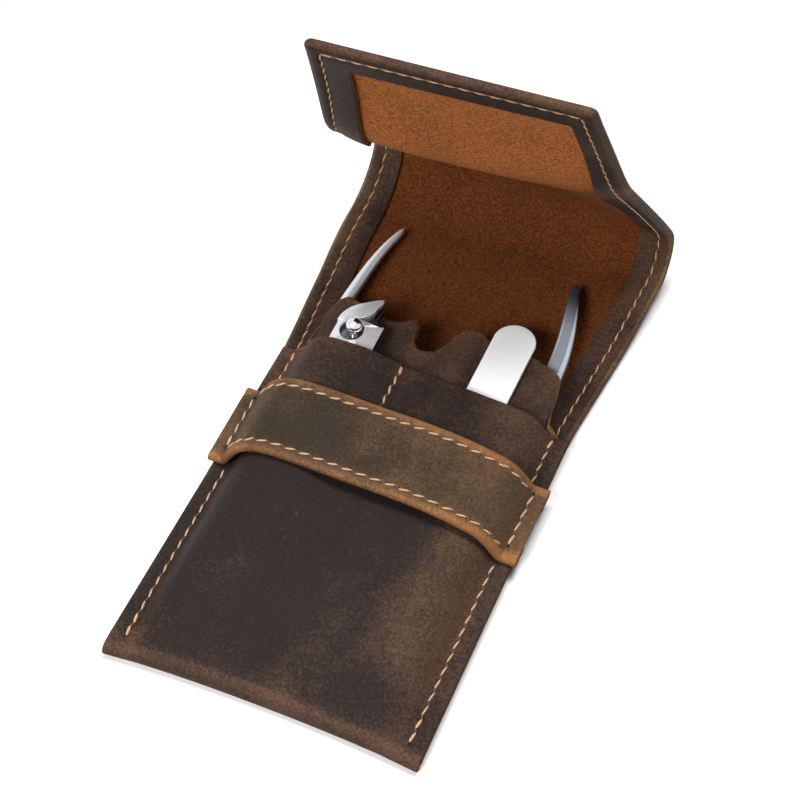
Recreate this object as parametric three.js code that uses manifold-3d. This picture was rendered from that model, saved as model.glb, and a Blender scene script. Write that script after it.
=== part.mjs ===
// A leather manicure pouch that lies open on its back, with a clipper, a nail file and nippers in it.
// Millimetres, +Z up. X runs across the bag, Y from the bottom fold to the flap.
// The origin lies on the ground under the middle of the pouch.
import * as THREE from 'three';
import { mergeVertices } from 'three/addons/utils/BufferGeometryUtils.js';
import Module from 'manifold-3d';

const wasm = await Module();
wasm.setup();

// The hide: its widths over the stitched edges, from the bottom fold to the end of the tongue
const BAG_W = 84;
const MOUTH_W = 81.4;
const FOLD_W = 85;
const BEND_W = 79;
const END_W = 74;
const POUCH_L = 104;
const FREE_L = 53.5;
const FLAP_L_LEFT = 45.1;
const FLAP_L_RIGHT = 53;
const TONGUE_L = 49.8;
const HIDE = 1.4;
const DIVIDER_T = 1.2;
const EDGE_ROUND = 0.45;
const LAY = 0.05;
const CLEAR = 0.3;

// How the bag lies: the hide rolls over wider on its left side than on its right at the first fold, so
// the two panels that stand up behind it are a little askew
const FOLD_R_LEFT = 15;
const FOLD_R_RIGHT = 12.5;
const FREE_RISE = 3;
const FREE_RISE_L = 25;
const FLAP_ANGLE_LEFT = THREE.MathUtils.degToRad(136.3);
const FLAP_ANGLE_RIGHT = THREE.MathUtils.degToRad(123.2);
const TONGUE_ANGLE_LEFT = THREE.MathUtils.degToRad(111);
const TONGUE_ANGLE_RIGHT = THREE.MathUtils.degToRad(115.6);

// Inner border, stitching and strap
const BORDER_W = 12;
const BORDER_T = 0.8;
const SEAM_IN = 4;
const THREAD_W = 0.9;
const THREAD_H = 0.45;
const SEAM_MARGIN = 5.3;
const STRAP_FROM_BOTTOM = 61.5;
const STRAP_W = 25;
const STRAP_OVER = 1.4;
const STRAP_T = 1.2;
const STRAP_LINING_T = 0.9;
const STRAP_SEAM_IN = 3;
const STRAP_H = 11.8;
const POCKET_SEAM_X = -6;
const POCKET_SEAM_L = 17;

// How far the front stands up over the seam, and the length over which divider and nippers rise to
// pass over the border, where the nippers can be drawn out a little
const FRONT_H = 11.4;
const LIFT_L = 10;
const NIPPER_DRAW = 8;

// Nail file
const FILE_W = 11.6;
const FILE_L = 101;
const FILE_T = 1.2;
const FILE_X = 17.1;
const FILE_REST = 1.18;

// Nail clipper
const CLIPPER_X = -22.4;
const CLIPPER_W = 14;
const CLIPPER_L = 80;
const CLIPPER_OUT = 19;
const ARM_T = 1.4;
const ARM_GAP = 1.1;
const LEVER_W = 9;
const LEVER_T = 1.2;
const LEVER_L = 61;
const LEVER_HOLE = [2.7, 3.6];
const POST_R = 1.15;
const POST_BACK = 13.4;
const BALL_R = 1.9;
const BALL_UP = 1.5;
const RIVET_R = 1.3;
const RIVET_BACK = 5;

// Nail nippers
const NIPPER_X = -1;
const PIVOT_Y = 58;
const HANDLE_OUT = 49;
const HANDLE_SPREAD = 30.6;
const HANDLE_T = 4;
const HANDLE_W = 6;
const HANDLE_TIP_RISE = 2.4;
const JOINT_R = 7;
const JOINT_T = 6;
const SCREW_R = 2;
const JAW_L = 22;
const JAW_W = 6.6;
const JAW_GAP = 1.8;
const SPRING_T = 0.6;
const SPRING_W = 3;

// Place across the pouch as a share of its half width inside the seams, then the height share there
const FRONT_ARCH_SHARES = [
  [-1.02, 0], [-1, 0], [-0.95, 0.33], [-0.9, 0.7], [-0.86, 0.9], [-0.8, 1.01], [-0.74, 1.05],
  [-0.65, 1.05], [-0.5, 1.03], [-0.42, 0.98], [-0.3, 0.86], [-0.16, 0.76], [0, 0.74], [0.2, 0.71],
  [0.3, 0.69], [0.45, 0.67], [0.64, 0.635], [0.8, 0.58], [0.86, 0.565], [0.9, 0.54], [0.95, 0.36],
  [1, 0], [1.02, 0],
];
const DIVIDER_ARCH_SHARES = [
  [-1.02, 0], [-0.985, 0], [-0.95, 0.3], [-0.91, 0.95], [-0.89, 1], [-0.38, 1], [-0.28, 1.5],
  [-0.16, 1.52], [0, 1.52], [0.22, 1.5], [0.27, 1], [0.89, 1], [0.91, 0.95], [0.95, 0.3],
  [0.985, 0], [1.02, 0],
];
const STRAP_ARCH_SHARES = [
  [-1.15, 0], [-1.065, 0], [-1.035, 0.005], [-1.014, 0.04], [-0.992, 0.115], [-0.97, 0.225],
  [-0.926, 0.47], [-0.88, 0.76], [-0.84, 0.93], [-0.8, 1.02], [-0.74, 1.07], [-0.65, 1.09],
  [-0.5, 1.07], [-0.3, 0.97], [-0.16, 0.89], [0, 0.83], [0.2, 0.78], [0.45, 0.75], [0.64, 0.72],
  [0.8, 0.68], [0.84, 0.655], [0.88, 0.595], [0.926, 0.45], [0.97, 0.225], [0.992, 0.115],
  [1.014, 0.04], [1.035, 0.005], [1.065, 0], [1.15, 0],
];
// Place along the pouch as a share of its length, then how full it is there
const FULL_SHARE = 0.28;
const FRONT_FULL_SHARES = [[0, 0.06], [0.03, 0.12], [0.12, 0.46], [0.2, 0.79], [FULL_SHARE, 1], [1, 1]];
const DIVIDER_FULL_SHARES = [[0, 0], [0.03, 0], [0.12, 0.36], [0.2, 0.72], [FULL_SHARE, 1], [2, 1]];
// The divider's wavy top edge with its finger notch, as shares of the pouch length
const DIVIDER_TOP_SHARES = [
  [-1, 0.995], [-0.89, 0.995], [-0.875, 1.1], [-0.86, 1.14], [-0.83, 1.175], [-0.78, 1.19],
  [-0.65, 1.18], [-0.5, 1.168], [-0.35, 1.175], [-0.225, 1.192], [-0.2, 1.15], [-0.17, 1.11],
  [-0.09, 1.1], [0, 1.11], [0.06, 1.14], [0.09, 1.175], [0.125, 1.2], [0.18, 1.21], [0.27, 1.211],
  [0.45, 1.203], [0.64, 1.19], [0.78, 1.175], [0.84, 1.16], [0.88, 1.12], [0.895, 0.995], [1, 0.995],
];
// Nipper handle: share of its length, of its spread, of its width and of its thickness
const HANDLE_SHARES = [
  [0.08, 0.13, 1, 1], [0.15, 0.34, 1, 1], [0.23, 0.57, 1, 1], [0.32, 0.75, 1, 1],
  [0.4, 0.84, 1, 1], [0.49, 0.9, 1, 1], [0.57, 0.96, 0.95, 1], [0.66, 1, 0.9, 1],
  [0.74, 0.99, 0.82, 0.95], [0.82, 0.96, 0.7, 0.88], [0.9, 0.91, 0.55, 0.76],
  [0.96, 0.86, 0.4, 0.62], [1, 0.83, 0.22, 0.4],
];
// Clipper arm outline from the rear, across in half widths and along in lengths; the beak leans over
const ARM_OUTLINE_SHARES = [
  [0.55, 0], [0.8, 0.03], [1, 0.12], [1, 0.87], [0.86, 0.895], [0.42, 0.935], [0.5, 1],
  [0.1, 0.985], [-0.35, 0.95], [-0.72, 0.905], [-0.93, 0.865], [-1, 0.8], [-1, 0.12],
  [-0.8, 0.03], [-0.55, 0],
];
const LEVER_OUTLINE_SHARES = [
  [0.6, 0], [0.85, 0.04], [0.9, 0.2], [1, 0.82], [1, 0.93], [0.7, 0.97], [0.15, 1], [-0.5, 0.99],
  [-1, 0.93], [-1, 0.82], [-0.9, 0.2], [-0.85, 0.04], [-0.6, 0],
];
// Jaw outline of the nippers, across in jaw widths and along in jaw lengths
const JAW_OUTLINE_SHARES = [[0, 0.15], [0.95, 0.15], [1.1, 0.45], [1, 0.7], [0.6, 0.9], [0, 1]];
// Spring path, across in handle spreads and along in handle lengths
const SPRING_SHARES = [
  [0.445, 0.24421], [0.35, 0.28826], [0.24, 0.32905], [0.13, 0.36821], [0.03, 0.40737],
];

const leather = new THREE.MeshStandardMaterial({ color: 0x3c302c, roughness: 0.6, metalness: 0 });
const border = new THREE.MeshStandardMaterial({ color: 0x32271f, roughness: 0.62, metalness: 0 });
const suede = new THREE.MeshStandardMaterial({ color: 0x96532a, roughness: 0.95, metalness: 0 });
const strapLeather = new THREE.MeshStandardMaterial({ color: 0x55442d, roughness: 0.6, metalness: 0 });
const thread = new THREE.MeshStandardMaterial({ color: 0xc89a6c, roughness: 0.8, metalness: 0 });
const polished = new THREE.MeshStandardMaterial({ color: 0xd2d2d4, roughness: 0.12, metalness: 1 });
const satin = new THREE.MeshStandardMaterial({ color: 0xd6d8dc, roughness: 0.4, metalness: 1 });

const lerp = THREE.MathUtils.lerp;
const smooth = (t) => THREE.MathUtils.smoothstep(t, 0, 1);

// Straight lines between the rows of a table, rounded a little at its corners
function fromTable(rows, x) {
  const at = (v) => {
    if (v <= rows[0][0]) return rows[0][1];
    for (let i = 1; i < rows.length; i += 1) {
      const [x0, y0] = rows[i - 1];
      const [x1, y1] = rows[i];
      if (v <= x1) return lerp(y0, y1, (v - x0) / (x1 - x0));
    }
    return rows[rows.length - 1][1];
  };
  const round = 0.008 * (rows[rows.length - 1][0] - rows[0][0]);
  return (at(x - round) + 2 * at(x) + at(x + round)) / 4;
}

// Half width of the hide at a length along the pouch, measured from the bottom fold
function halfWidth(y) {
  if (y <= POUCH_L) return lerp(BAG_W, MOUTH_W, y / POUCH_L) / 2;
  return lerp(MOUTH_W, FOLD_W, Math.min((y - POUCH_L) / FREE_L, 1)) / 2;
}
const insideSeam = (y) => halfWidth(Math.min(y, POUCH_L)) - SEAM_MARGIN;

// Heights of the middle of each hide over the ground
const backMid = HIDE / 2;
const dividerSeamMid = HIDE + LAY + DIVIDER_T / 2;
const frontSeamMid = HIDE + 2 * LAY + DIVIDER_T + HIDE / 2;
const seamTop = frontSeamMid + HIDE / 2;
// The nippers lie on the back panel, then over its border; the divider lies on them under the pockets
const handleLowZ = HIDE + CLEAR + HANDLE_T / 2;
const handleMouthZ = handleLowZ + LAY + BORDER_T;
const dividerH = handleLowZ + HANDLE_T / 2 + CLEAR + DIVIDER_T / 2 - dividerSeamMid;
const dividerLift = handleMouthZ - handleLowZ;
const toolZ = dividerSeamMid + dividerH + dividerLift + DIVIDER_T / 2 + CLEAR;
const mouthRise = (y) => smooth((y - POUCH_L + NIPPER_DRAW + LIFT_L) / LIFT_L);
const bottomR = (frontSeamMid - backMid) / 2;
const foldStart = bottomR + HIDE / 2;
const freeEnd = POUCH_L + FREE_L;

const riseFrom = freeEnd - FREE_RISE_L;
const freeZ = (y) => backMid + FREE_RISE * smooth((y - riseFrom) / FREE_RISE_L);
// A place off the back panel's middle surface, square to it
function offBack(x, y, lift) {
  const reach = FREE_RISE_L / 100;
  const slope = (freeZ(y + reach) - freeZ(y - reach)) / 2 / reach;
  const up = new THREE.Vector3(0, y < riseFrom ? 0 : -slope, 1).normalize();
  return { at: new THREE.Vector3(x, y, freeZ(y)).addScaledVector(up, lift), up };
}

function frontMid(x, y) {
  const inside = insideSeam(y);
  const full = fromTable(FRONT_FULL_SHARES, y / POUCH_L);
  return frontSeamMid + FRONT_H * full * fromTable(FRONT_ARCH_SHARES, x / inside);
}

function dividerMid(x, y) {
  const inside = insideSeam(y);
  const full = fromTable(DIVIDER_FULL_SHARES, y / POUCH_L);
  const lift = dividerLift * mouthRise(y);
  const arch = fromTable(DIVIDER_ARCH_SHARES, x / inside);
  return dividerSeamMid + dividerH * full * arch + lift * Math.min(arch, 1);
}

// Even steps from 0 to 1 that keep a small distance from both ends
function steps(count, ends) {
  return Array.from({ length: count + 1 }, (_, i) => lerp(ends, 1 - ends, i / count));
}

// Closed geometry from points and triangles
function closed(points, triangles) {
  const geometry = new THREE.BufferGeometry();
  geometry.setAttribute('position', new THREE.Float32BufferAttribute(points.flatMap((p) => p.toArray()), 3));
  geometry.setIndex(triangles);
  geometry.computeVertexNormals();
  return geometry;
}

// A hide of even thickness about a middle surface, with a softened edge all round
function hideGeometry(mid, thickness, us, vs) {
  const points = [];
  const triangles = [];
  const add = (p) => points.push(p) - 1;
  const delta = 1e-3;
  const normal = (u, v) => {
    const across = mid(Math.min(u + delta, 1), v).sub(mid(Math.max(u - delta, 0), v));
    const along = mid(u, Math.min(v + delta, 1)).sub(mid(u, Math.max(v - delta, 0)));
    return across.cross(along).normalize();
  };
  const top = [];
  const bottom = [];
  us.forEach((u) => {
    const columnTop = [];
    const columnBottom = [];
    vs.forEach((v) => {
      const p = mid(u, v);
      const n = normal(u, v).multiplyScalar(thickness / 2);
      columnTop.push(add(p.clone().add(n)));
      columnBottom.push(add(p.clone().sub(n)));
    });
    top.push(columnTop);
    bottom.push(columnBottom);
  });
  const [m, n] = [us.length - 1, vs.length - 1];
  for (let i = 0; i < m; i += 1) {
    for (let j = 0; j < n; j += 1) {
      const [a, b, c, d] = [top[i][j], top[i + 1][j], top[i + 1][j + 1], top[i][j + 1]];
      const [e, f, g, h] = [bottom[i][j], bottom[i + 1][j], bottom[i + 1][j + 1], bottom[i][j + 1]];
      triangles.push(a, b, c, a, c, d, e, g, f, e, h, g);
    }
  }
  const loop = [];
  for (let i = 0; i < m; i += 1) loop.push([i, 0]);
  for (let j = 0; j < n; j += 1) loop.push([m, j]);
  for (let i = m; i > 0; i -= 1) loop.push([i, n]);
  for (let j = n; j > 0; j -= 1) loop.push([0, j]);
  const outer = (k, last, values) => (k === 0 ? 0 : k === last ? 1 : values[k]);
  const ring = loop.map(([i, j]) => add(mid(outer(i, m, us), outer(j, n, vs))));
  loop.forEach(([i, j], k) => {
    const next = (k + 1) % loop.length;
    const [i2, j2] = loop[next];
    const [t0, t1, b0, b1] = [top[i][j], top[i2][j2], bottom[i][j], bottom[i2][j2]];
    triangles.push(t0, ring[k], ring[next], t0, ring[next], t1);
    triangles.push(ring[k], b0, b1, ring[k], b1, ring[next]);
  });
  return closed(points, triangles);
}

// A section swept along a line: frames give the place, the side and the up direction at each step
function sweepGeometry(frames) {
  const points = [];
  const triangles = [];
  const sides = frames[0].section.length;
  frames.forEach(({ at, side, up, section }) => {
    section.forEach(([a, b]) => {
      points.push(at.clone().addScaledVector(side, a).addScaledVector(up, b));
    });
  });
  for (let i = 0; i + 1 < frames.length; i += 1) {
    for (let k = 0; k < sides; k += 1) {
      const l = (k + 1) % sides;
      const [a, b, c, d] = [i * sides + k, i * sides + l, (i + 1) * sides + l, (i + 1) * sides + k];
      triangles.push(a, c, b, a, d, c);
    }
  }
  const last = (frames.length - 1) * sides;
  for (let k = 1; k + 1 < sides; k += 1) {
    triangles.push(0, k, k + 1, last, last + k + 1, last + k);
  }
  return closed(points, triangles);
}

// A low thread bead that lies on a surface: path points with the surface's up direction
function threadGeometry(path) {
  const section = [
    [-THREAD_W / 2, LAY], [THREAD_W / 2, LAY], [THREAD_W / 4, THREAD_H], [-THREAD_W / 4, THREAD_H],
  ];
  const frames = path.map(({ at, up }, i) => {
    const ahead = path[Math.min(i + 1, path.length - 1)].at;
    const behind = path[Math.max(i - 1, 0)].at;
    const side = ahead.clone().sub(behind).normalize().cross(up).normalize();
    return { at, side, up, section };
  });
  return sweepGeometry(frames);
}

function mesh(group, name, geometry, material) {
  const piece = new THREE.Mesh(geometry, material);
  piece.name = name;
  group.add(piece);
  return piece;
}

function toSolid(geometry) {
  const bare = geometry.clone();
  bare.deleteAttribute('normal');
  bare.deleteAttribute('uv');
  const merged = mergeVertices(bare);
  return new wasm.Manifold(new wasm.Mesh({
    numProp: 3,
    vertProperties: new Float32Array(merged.attributes.position.array),
    triVerts: new Uint32Array(merged.index.array),
  }));
}

function toGeometry(solid) {
  const { vertProperties, triVerts } = solid.getMesh();
  const geometry = new THREE.BufferGeometry();
  geometry.setAttribute('position', new THREE.BufferAttribute(new Float32Array(vertProperties), 3));
  geometry.setIndex(new THREE.BufferAttribute(new Uint32Array(triVerts), 1));
  geometry.computeVertexNormals();
  return geometry;
}

// A flat plate from an outline in X and Y, with its lower face at z
function plate(outline, z, height) {
  const shape = new THREE.Shape(outline.map(([x, y]) => new THREE.Vector2(x, y)));
  return new THREE.ExtrudeGeometry(shape, { depth: height, bevelEnabled: false }).translate(0, 0, z);
}

function disc(x, y, radius, z, height, sides = 24) {
  return new THREE.CylinderGeometry(radius, radius, height, sides)
    .rotateX(Math.PI / 2).translate(x, y, z + height / 2);
}

const vec = (x, y, z) => new THREE.Vector3(x, y, z);
const up = vec(0, 0, 1);
const pouch = new THREE.Group();
const acrossEnds = EDGE_ROUND / BAG_W;

// Back panel: flat on the ground in the pouch, rising to the first fold
const backFrom = foldStart + LAY;
const riseSteps = 8;
// Rows from a start to the fold, close together only where the panel rises
const riseRows = (from) => [
  EDGE_ROUND / freeEnd, ...steps(riseSteps, 0).map((t) => (
    (lerp(riseFrom, freeEnd - LAY - EDGE_ROUND, t) - from) / (freeEnd - LAY - from)
  )),
];
mesh(pouch, 'back_panel', hideGeometry((u, v) => {
  const y = lerp(backFrom, freeEnd - LAY, v);
  return vec(lerp(-1, 1, u) * halfWidth(y), y, freeZ(y));
}, HIDE, steps(2, acrossEnds), riseRows(backFrom)), leather);

// Front panel: round the bottom fold, then up to the mouth over the tools
const foldArc = Math.PI * bottomR;
const frontPath = foldArc + POUCH_L - foldStart;
const frontColumns = [
  acrossEnds, ...FRONT_ARCH_SHARES.map(([x]) => (x * (1 - (2 * SEAM_MARGIN) / BAG_W) + 1) / 2),
  1 - acrossEnds,
];
const foldRows = [0.02, 0.2, 0.4, 0.6, 0.8, 1].map((s) => (s * foldArc) / frontPath);
const frontRows = [...foldRows, ...steps(18, 0).slice(1).map((s) => (
  lerp(foldArc, frontPath - EDGE_ROUND, s) / frontPath
))];
mesh(pouch, 'front_panel', hideGeometry((u, v) => {
  const s = v * frontPath;
  const turn = Math.min(s / foldArc, 1) * Math.PI;
  const y = s < foldArc ? foldStart - bottomR * Math.sin(turn) : foldStart + s - foldArc;
  const x = lerp(1, -1, u) * halfWidth(y);
  if (s < foldArc) {
    const rise = frontMid(x, foldStart) - frontSeamMid;
    return vec(x, y, backMid + bottomR + (bottomR + rise / 2) * -Math.cos(turn) + rise / 2);
  }
  return vec(x, y, frontMid(x, y));
}, HIDE, frontColumns.map((u) => 1 - u).reverse(), frontRows), leather);

// Divider panel between the nippers and the two front pockets
const dividerFrom = foldStart + CLEAR;
const dividerStations = [...DIVIDER_TOP_SHARES, ...DIVIDER_ARCH_SHARES].map(([x]) => x)
  .sort((a, b) => a - b).filter((x, i, all) => i === 0 || x - all[i - 1] > 1e-3);
const dividerColumns = [
  acrossEnds, ...dividerStations.map((x) => (x * (1 - (2 * SEAM_MARGIN) / BAG_W) + 1) / 2),
  1 - acrossEnds,
];
mesh(pouch, 'divider_panel', hideGeometry((u, v) => {
  const share = lerp(-1, 1, u) / (1 - (2 * SEAM_MARGIN) / BAG_W);
  const y = lerp(dividerFrom, POUCH_L * fromTable(DIVIDER_TOP_SHARES, share), v);
  const x = lerp(-1, 1, u) * halfWidth(Math.min(y, POUCH_L));
  return vec(x, y, dividerMid(x, y));
}, DIVIDER_T, dividerColumns, steps(20, EDGE_ROUND / POUCH_L)), suede);

// The long sides of the hide past the first fold: 0 to 1 goes round the roll, 1 to 2 up the flap and
// 2 to 3 up the tongue
const leftSide = {
  radius: FOLD_R_LEFT, flapAngle: FLAP_ANGLE_LEFT, flapL: FLAP_L_LEFT, tongueAngle: TONGUE_ANGLE_LEFT,
};
const rightSide = {
  radius: FOLD_R_RIGHT, flapAngle: FLAP_ANGLE_RIGHT, flapL: FLAP_L_RIGHT, tongueAngle: TONGUE_ANGLE_RIGHT,
};
const share = (t) => Math.min(Math.max(t, 0), 1);
function sidePlace({ radius, flapAngle, flapL, tongueAngle }, t) {
  const turn = share(t) * flapAngle;
  const upFlap = share(t - 1) * flapL;
  const upTongue = share(t - 2) * TONGUE_L;
  const y = radius * Math.sin(turn) + upFlap * Math.cos(flapAngle) + upTongue * Math.cos(tongueAngle);
  const z = radius * (1 - Math.cos(turn)) + upFlap * Math.sin(flapAngle) + upTongue * Math.sin(tongueAngle);
  return vec(0, freeEnd + y, freeZ(freeEnd) + z);
}
const foldedHalf = (t) => lerp(lerp(FOLD_W, BEND_W, share(t - 1)), END_W, share(t - 2)) / 2;
const [ROLL, FLAP, TONGUE] = [0, 1, 2];
const panelL = [
  ((FOLD_R_LEFT + FOLD_R_RIGHT) / 2) * ((FLAP_ANGLE_LEFT + FLAP_ANGLE_RIGHT) / 2),
  (FLAP_L_LEFT + FLAP_L_RIGHT) / 2, TONGUE_L,
];
// A place on the roll, flap or tongue: x across, t up it from 0 to 1, lifted square to the hide
function offPanel(panel, x, t, lift) {
  const at = (px, pt) => {
    const across = px / foldedHalf(panel + pt) / 2 + 0.5;
    return sidePlace(leftSide, panel + pt).lerp(sidePlace(rightSide, panel + pt), across).setX(px);
  };
  const reach = 1e-3;
  const wide = reach * foldedHalf(panel + t);
  const side = at(x + wide, t).sub(at(x - wide, t));
  const along = at(x, Math.min(t + reach, 1)).sub(at(x, Math.max(t - reach, 0)));
  const rise = side.cross(along).normalize();
  return { at: at(x, t).addScaledVector(rise, lift), up: rise };
}
// Panels keep a small distance from each other
const within = (panel, v) => lerp(LAY / panelL[panel], 1 - LAY / panelL[panel], v);
function foldedPanel(group, name, panel, columns, rows) {
  mesh(group, name, hideGeometry((u, v) => {
    const t = within(panel, v);
    return offPanel(panel, lerp(-1, 1, u) * foldedHalf(panel + t), t, 0).at;
  }, HIDE, steps(columns, acrossEnds), steps(rows, EDGE_ROUND / panelL[panel])), leather);
}

const borderLift = HIDE / 2 + LAY + BORDER_T / 2;
const borderEnds = EDGE_ROUND / BORDER_W;
const borderFrom = POUCH_L + CLEAR;
function foldedBorder(group, name, panel, sign, rows) {
  mesh(group, name, hideGeometry((u, v) => {
    const t = within(panel, v);
    const across = sign < 0 ? lerp(0, BORDER_W, u) : lerp(BORDER_W, 0, u);
    return offPanel(panel, sign * (foldedHalf(panel + t) - across), t, borderLift).at;
  }, BORDER_T, steps(2, borderEnds), steps(rows, EDGE_ROUND / panelL[panel])), border);
}
function foldedSeam(group, name, panel, sign, rows) {
  mesh(group, name, threadGeometry(steps(rows, 0).map((v) => {
    const t = within(panel, v);
    return offPanel(panel, sign * (foldedHalf(panel + t) - SEAM_IN), t, borderLift + BORDER_T / 2);
  })), thread);
}

// The soft roll at the first fold, which bends when the flap moves
const rollRows = 14;
foldedPanel(pouch, 'fold_roll', ROLL, 6, rollRows);

// Inner borders and their stitching on the free part of the back panel and round the roll
for (const [side, sign] of [['left', -1], ['right', 1]]) {
  mesh(pouch, `free_border_${side}`, hideGeometry((u, v) => {
    const y = lerp(borderFrom, freeEnd - LAY, v);
    const across = sign < 0 ? lerp(0, BORDER_W, u) : lerp(BORDER_W, 0, u);
    return offBack(sign * (halfWidth(y) - across), y, borderLift).at;
  }, BORDER_T, steps(2, borderEnds), riseRows(borderFrom)), border);
  foldedBorder(pouch, `roll_border_${side}`, ROLL, sign, rollRows);
  const seamLift = borderLift + BORDER_T / 2;
  const freePath = [SEAM_IN / FREE_L, ...riseRows(borderFrom).slice(1)].map((t) => {
    const y = lerp(borderFrom, freeEnd - LAY, t);
    return offBack(sign * (halfWidth(y) - SEAM_IN), y, seamLift + LAY);
  });
  mesh(pouch, `free_seam_${side}`, threadGeometry(freePath), thread);
  foldedSeam(pouch, `roll_seam_${side}`, ROLL, sign, rollRows);
}

// Strap across the front, lined, sewn down over both side seams
const strapTo = STRAP_FROM_BOTTOM + STRAP_W;
const strapMidY = STRAP_FROM_BOTTOM + STRAP_W / 2;
const strapHalf = halfWidth(strapMidY) + STRAP_OVER;
const strapInside = insideSeam(strapMidY) + THREAD_W;
const strapBase = seamTop + LAY;
const strapZ = (x) => strapBase + STRAP_H * fromTable(STRAP_ARCH_SHARES, x / strapInside);
const strapStations = STRAP_ARCH_SHARES.slice(1, -1).map(([x]) => x * strapInside);
const strapColumns = [
  EDGE_ROUND / strapHalf / 2, ...strapStations.map((x) => (x / strapHalf + 1) / 2),
  1 - EDGE_ROUND / strapHalf / 2,
];
const strapUp = (x) => {
  const reach = STRAP_SEAM_IN / 10;
  return vec(strapZ(x - reach) - strapZ(x + reach), 0, 2 * reach).normalize();
};
// A place at a distance above the strap's lower face, measured square to it
const strapPoint = (x, y, above) => vec(x, y, strapZ(x)).addScaledVector(strapUp(x), above);
function strapLayer(name, lower, thickness, material) {
  mesh(pouch, name, hideGeometry((u, v) => (
    strapPoint(lerp(-1, 1, u) * strapHalf, lerp(STRAP_FROM_BOTTOM, strapTo, v), lower + thickness / 2)
  ), thickness, strapColumns, steps(2, EDGE_ROUND / STRAP_W)), material);
}
strapLayer('strap_lining', 0, STRAP_LINING_T, suede);
const bandLower = STRAP_LINING_T + CLEAR;
strapLayer('strap_band', bandLower, STRAP_T, strapLeather);
const strapThread = (x, y) => ({ at: strapPoint(x, y, bandLower + STRAP_T + LAY), up: strapUp(x) });
for (const [name, y] of [
  ['strap_seam_lower', STRAP_FROM_BOTTOM + STRAP_SEAM_IN], ['strap_seam_upper', strapTo - STRAP_SEAM_IN],
]) {
  const reach = strapInside - THREAD_W / 2;
  mesh(pouch, name, threadGeometry(
    strapStations.filter((x) => Math.abs(x) < reach).map((x) => strapThread(x, y)),
  ), thread);
}

// Side seams through the three hides, under and over the strap, and the seams of the strap's ends
for (const [side, sign] of [['left', -1], ['right', 1]]) {
  const line = (name, from, to, z) => mesh(pouch, `${name}_${side}`, threadGeometry(steps(2, 0).map((t) => {
    const y = lerp(from, to, t);
    return { at: vec(sign * (halfWidth(y) - SEAM_IN), y, z), up };
  })), thread);
  line('side_seam', foldStart + SEAM_IN / 2, STRAP_FROM_BOTTOM - CLEAR, seamTop);
  line('mouth_seam', strapTo + CLEAR, POUCH_L - SEAM_IN / 4, seamTop);
  const endX = halfWidth(strapMidY) - SEAM_IN / 2;
  const inner = STRAP_SEAM_IN + 2 * THREAD_W;
  mesh(pouch, `strap_end_seam_${side}`, threadGeometry(steps(2, 0).map((t) => (
    strapThread(sign * endX, lerp(STRAP_FROM_BOTTOM + inner, strapTo - inner, t))
  ))), thread);
}

// Stitch line that parts the front pocket
mesh(pouch, 'pocket_seam', threadGeometry(steps(8, 0).map((t) => {
  const y = lerp(POUCH_L - POCKET_SEAM_L, POUCH_L - EDGE_ROUND, t);
  const reach = SEAM_IN / 4;
  const slope = (frontMid(POCKET_SEAM_X - reach, y) - frontMid(POCKET_SEAM_X + reach, y)) / 2 / reach;
  const rise = vec(slope, 0, 1).normalize();
  return { at: vec(POCKET_SEAM_X, y, frontMid(POCKET_SEAM_X, y) + HIDE / 2 + LAY), up: rise };
})), thread);

// Flap: from the roll to the second fold
const flap = new THREE.Group();
foldedPanel(flap, 'flap_panel', FLAP, 6, 8);
for (const [side, sign] of [['left', -1], ['right', 1]]) {
  foldedBorder(flap, `flap_border_${side}`, FLAP, sign, 8);
  foldedSeam(flap, `flap_seam_${side}`, FLAP, sign, 8);
}

// Tongue: the last panel, bent a little back at the second fold
const tongue = new THREE.Group();
foldedPanel(tongue, 'tongue_panel', TONGUE, 6, 8);
// A line along the tongue's three free sides at a distance in from them: up the left side in the first
// third, across the end in the second and down the right side in the last
const bendGap = BORDER_T;
function roundTongue(inset, v, lift) {
  const leg = Math.min(Math.floor(v * 3), 2);
  const done = v * 3 - leg;
  const t = leg === 0 ? done : leg === 1 ? 1 : 1 - done;
  const y = lerp(bendGap, TONGUE_L - inset, t) / TONGUE_L;
  const across = leg === 0 ? -1 : leg === 1 ? lerp(-1, 1, done) : 1;
  return offPanel(TONGUE, across * (foldedHalf(TONGUE + y) - inset), y, lift);
}
const legRows = steps(24, 0).slice(1, 24);
const roundEnds = EDGE_ROUND / TONGUE_L / 3;
mesh(tongue, 'tongue_border', hideGeometry((u, v) => (
  roundTongue(lerp(BORDER_W, 0, u), v, borderLift).at
), BORDER_T, steps(2, borderEnds), [roundEnds, ...legRows, 1 - roundEnds]), border);
mesh(tongue, 'tongue_seam', threadGeometry(steps(24, 0).map((v) => (
  roundTongue(SEAM_IN, v, borderLift + BORDER_T / 2)
))), thread);

// Nail file, flat with round ends, in the right front pocket; it rests where the pocket gets its full depth
const file = new THREE.Group();
file.position.set(FILE_X, FULL_SHARE * POUCH_L + FILE_REST + FILE_L, toolZ);
const fileOutline = [];
for (const [centre, from] of [[-FILE_W / 2, 0], [FILE_W / 2 - FILE_L, Math.PI]]) {
  for (const t of steps(12, 0)) {
    const angle = from + t * Math.PI;
    fileOutline.push([(FILE_W / 2) * Math.cos(angle), centre + (FILE_W / 2) * Math.sin(angle)]);
  }
}
mesh(file, 'nail_file', plate(fileOutline, 0, FILE_T), satin);

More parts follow.
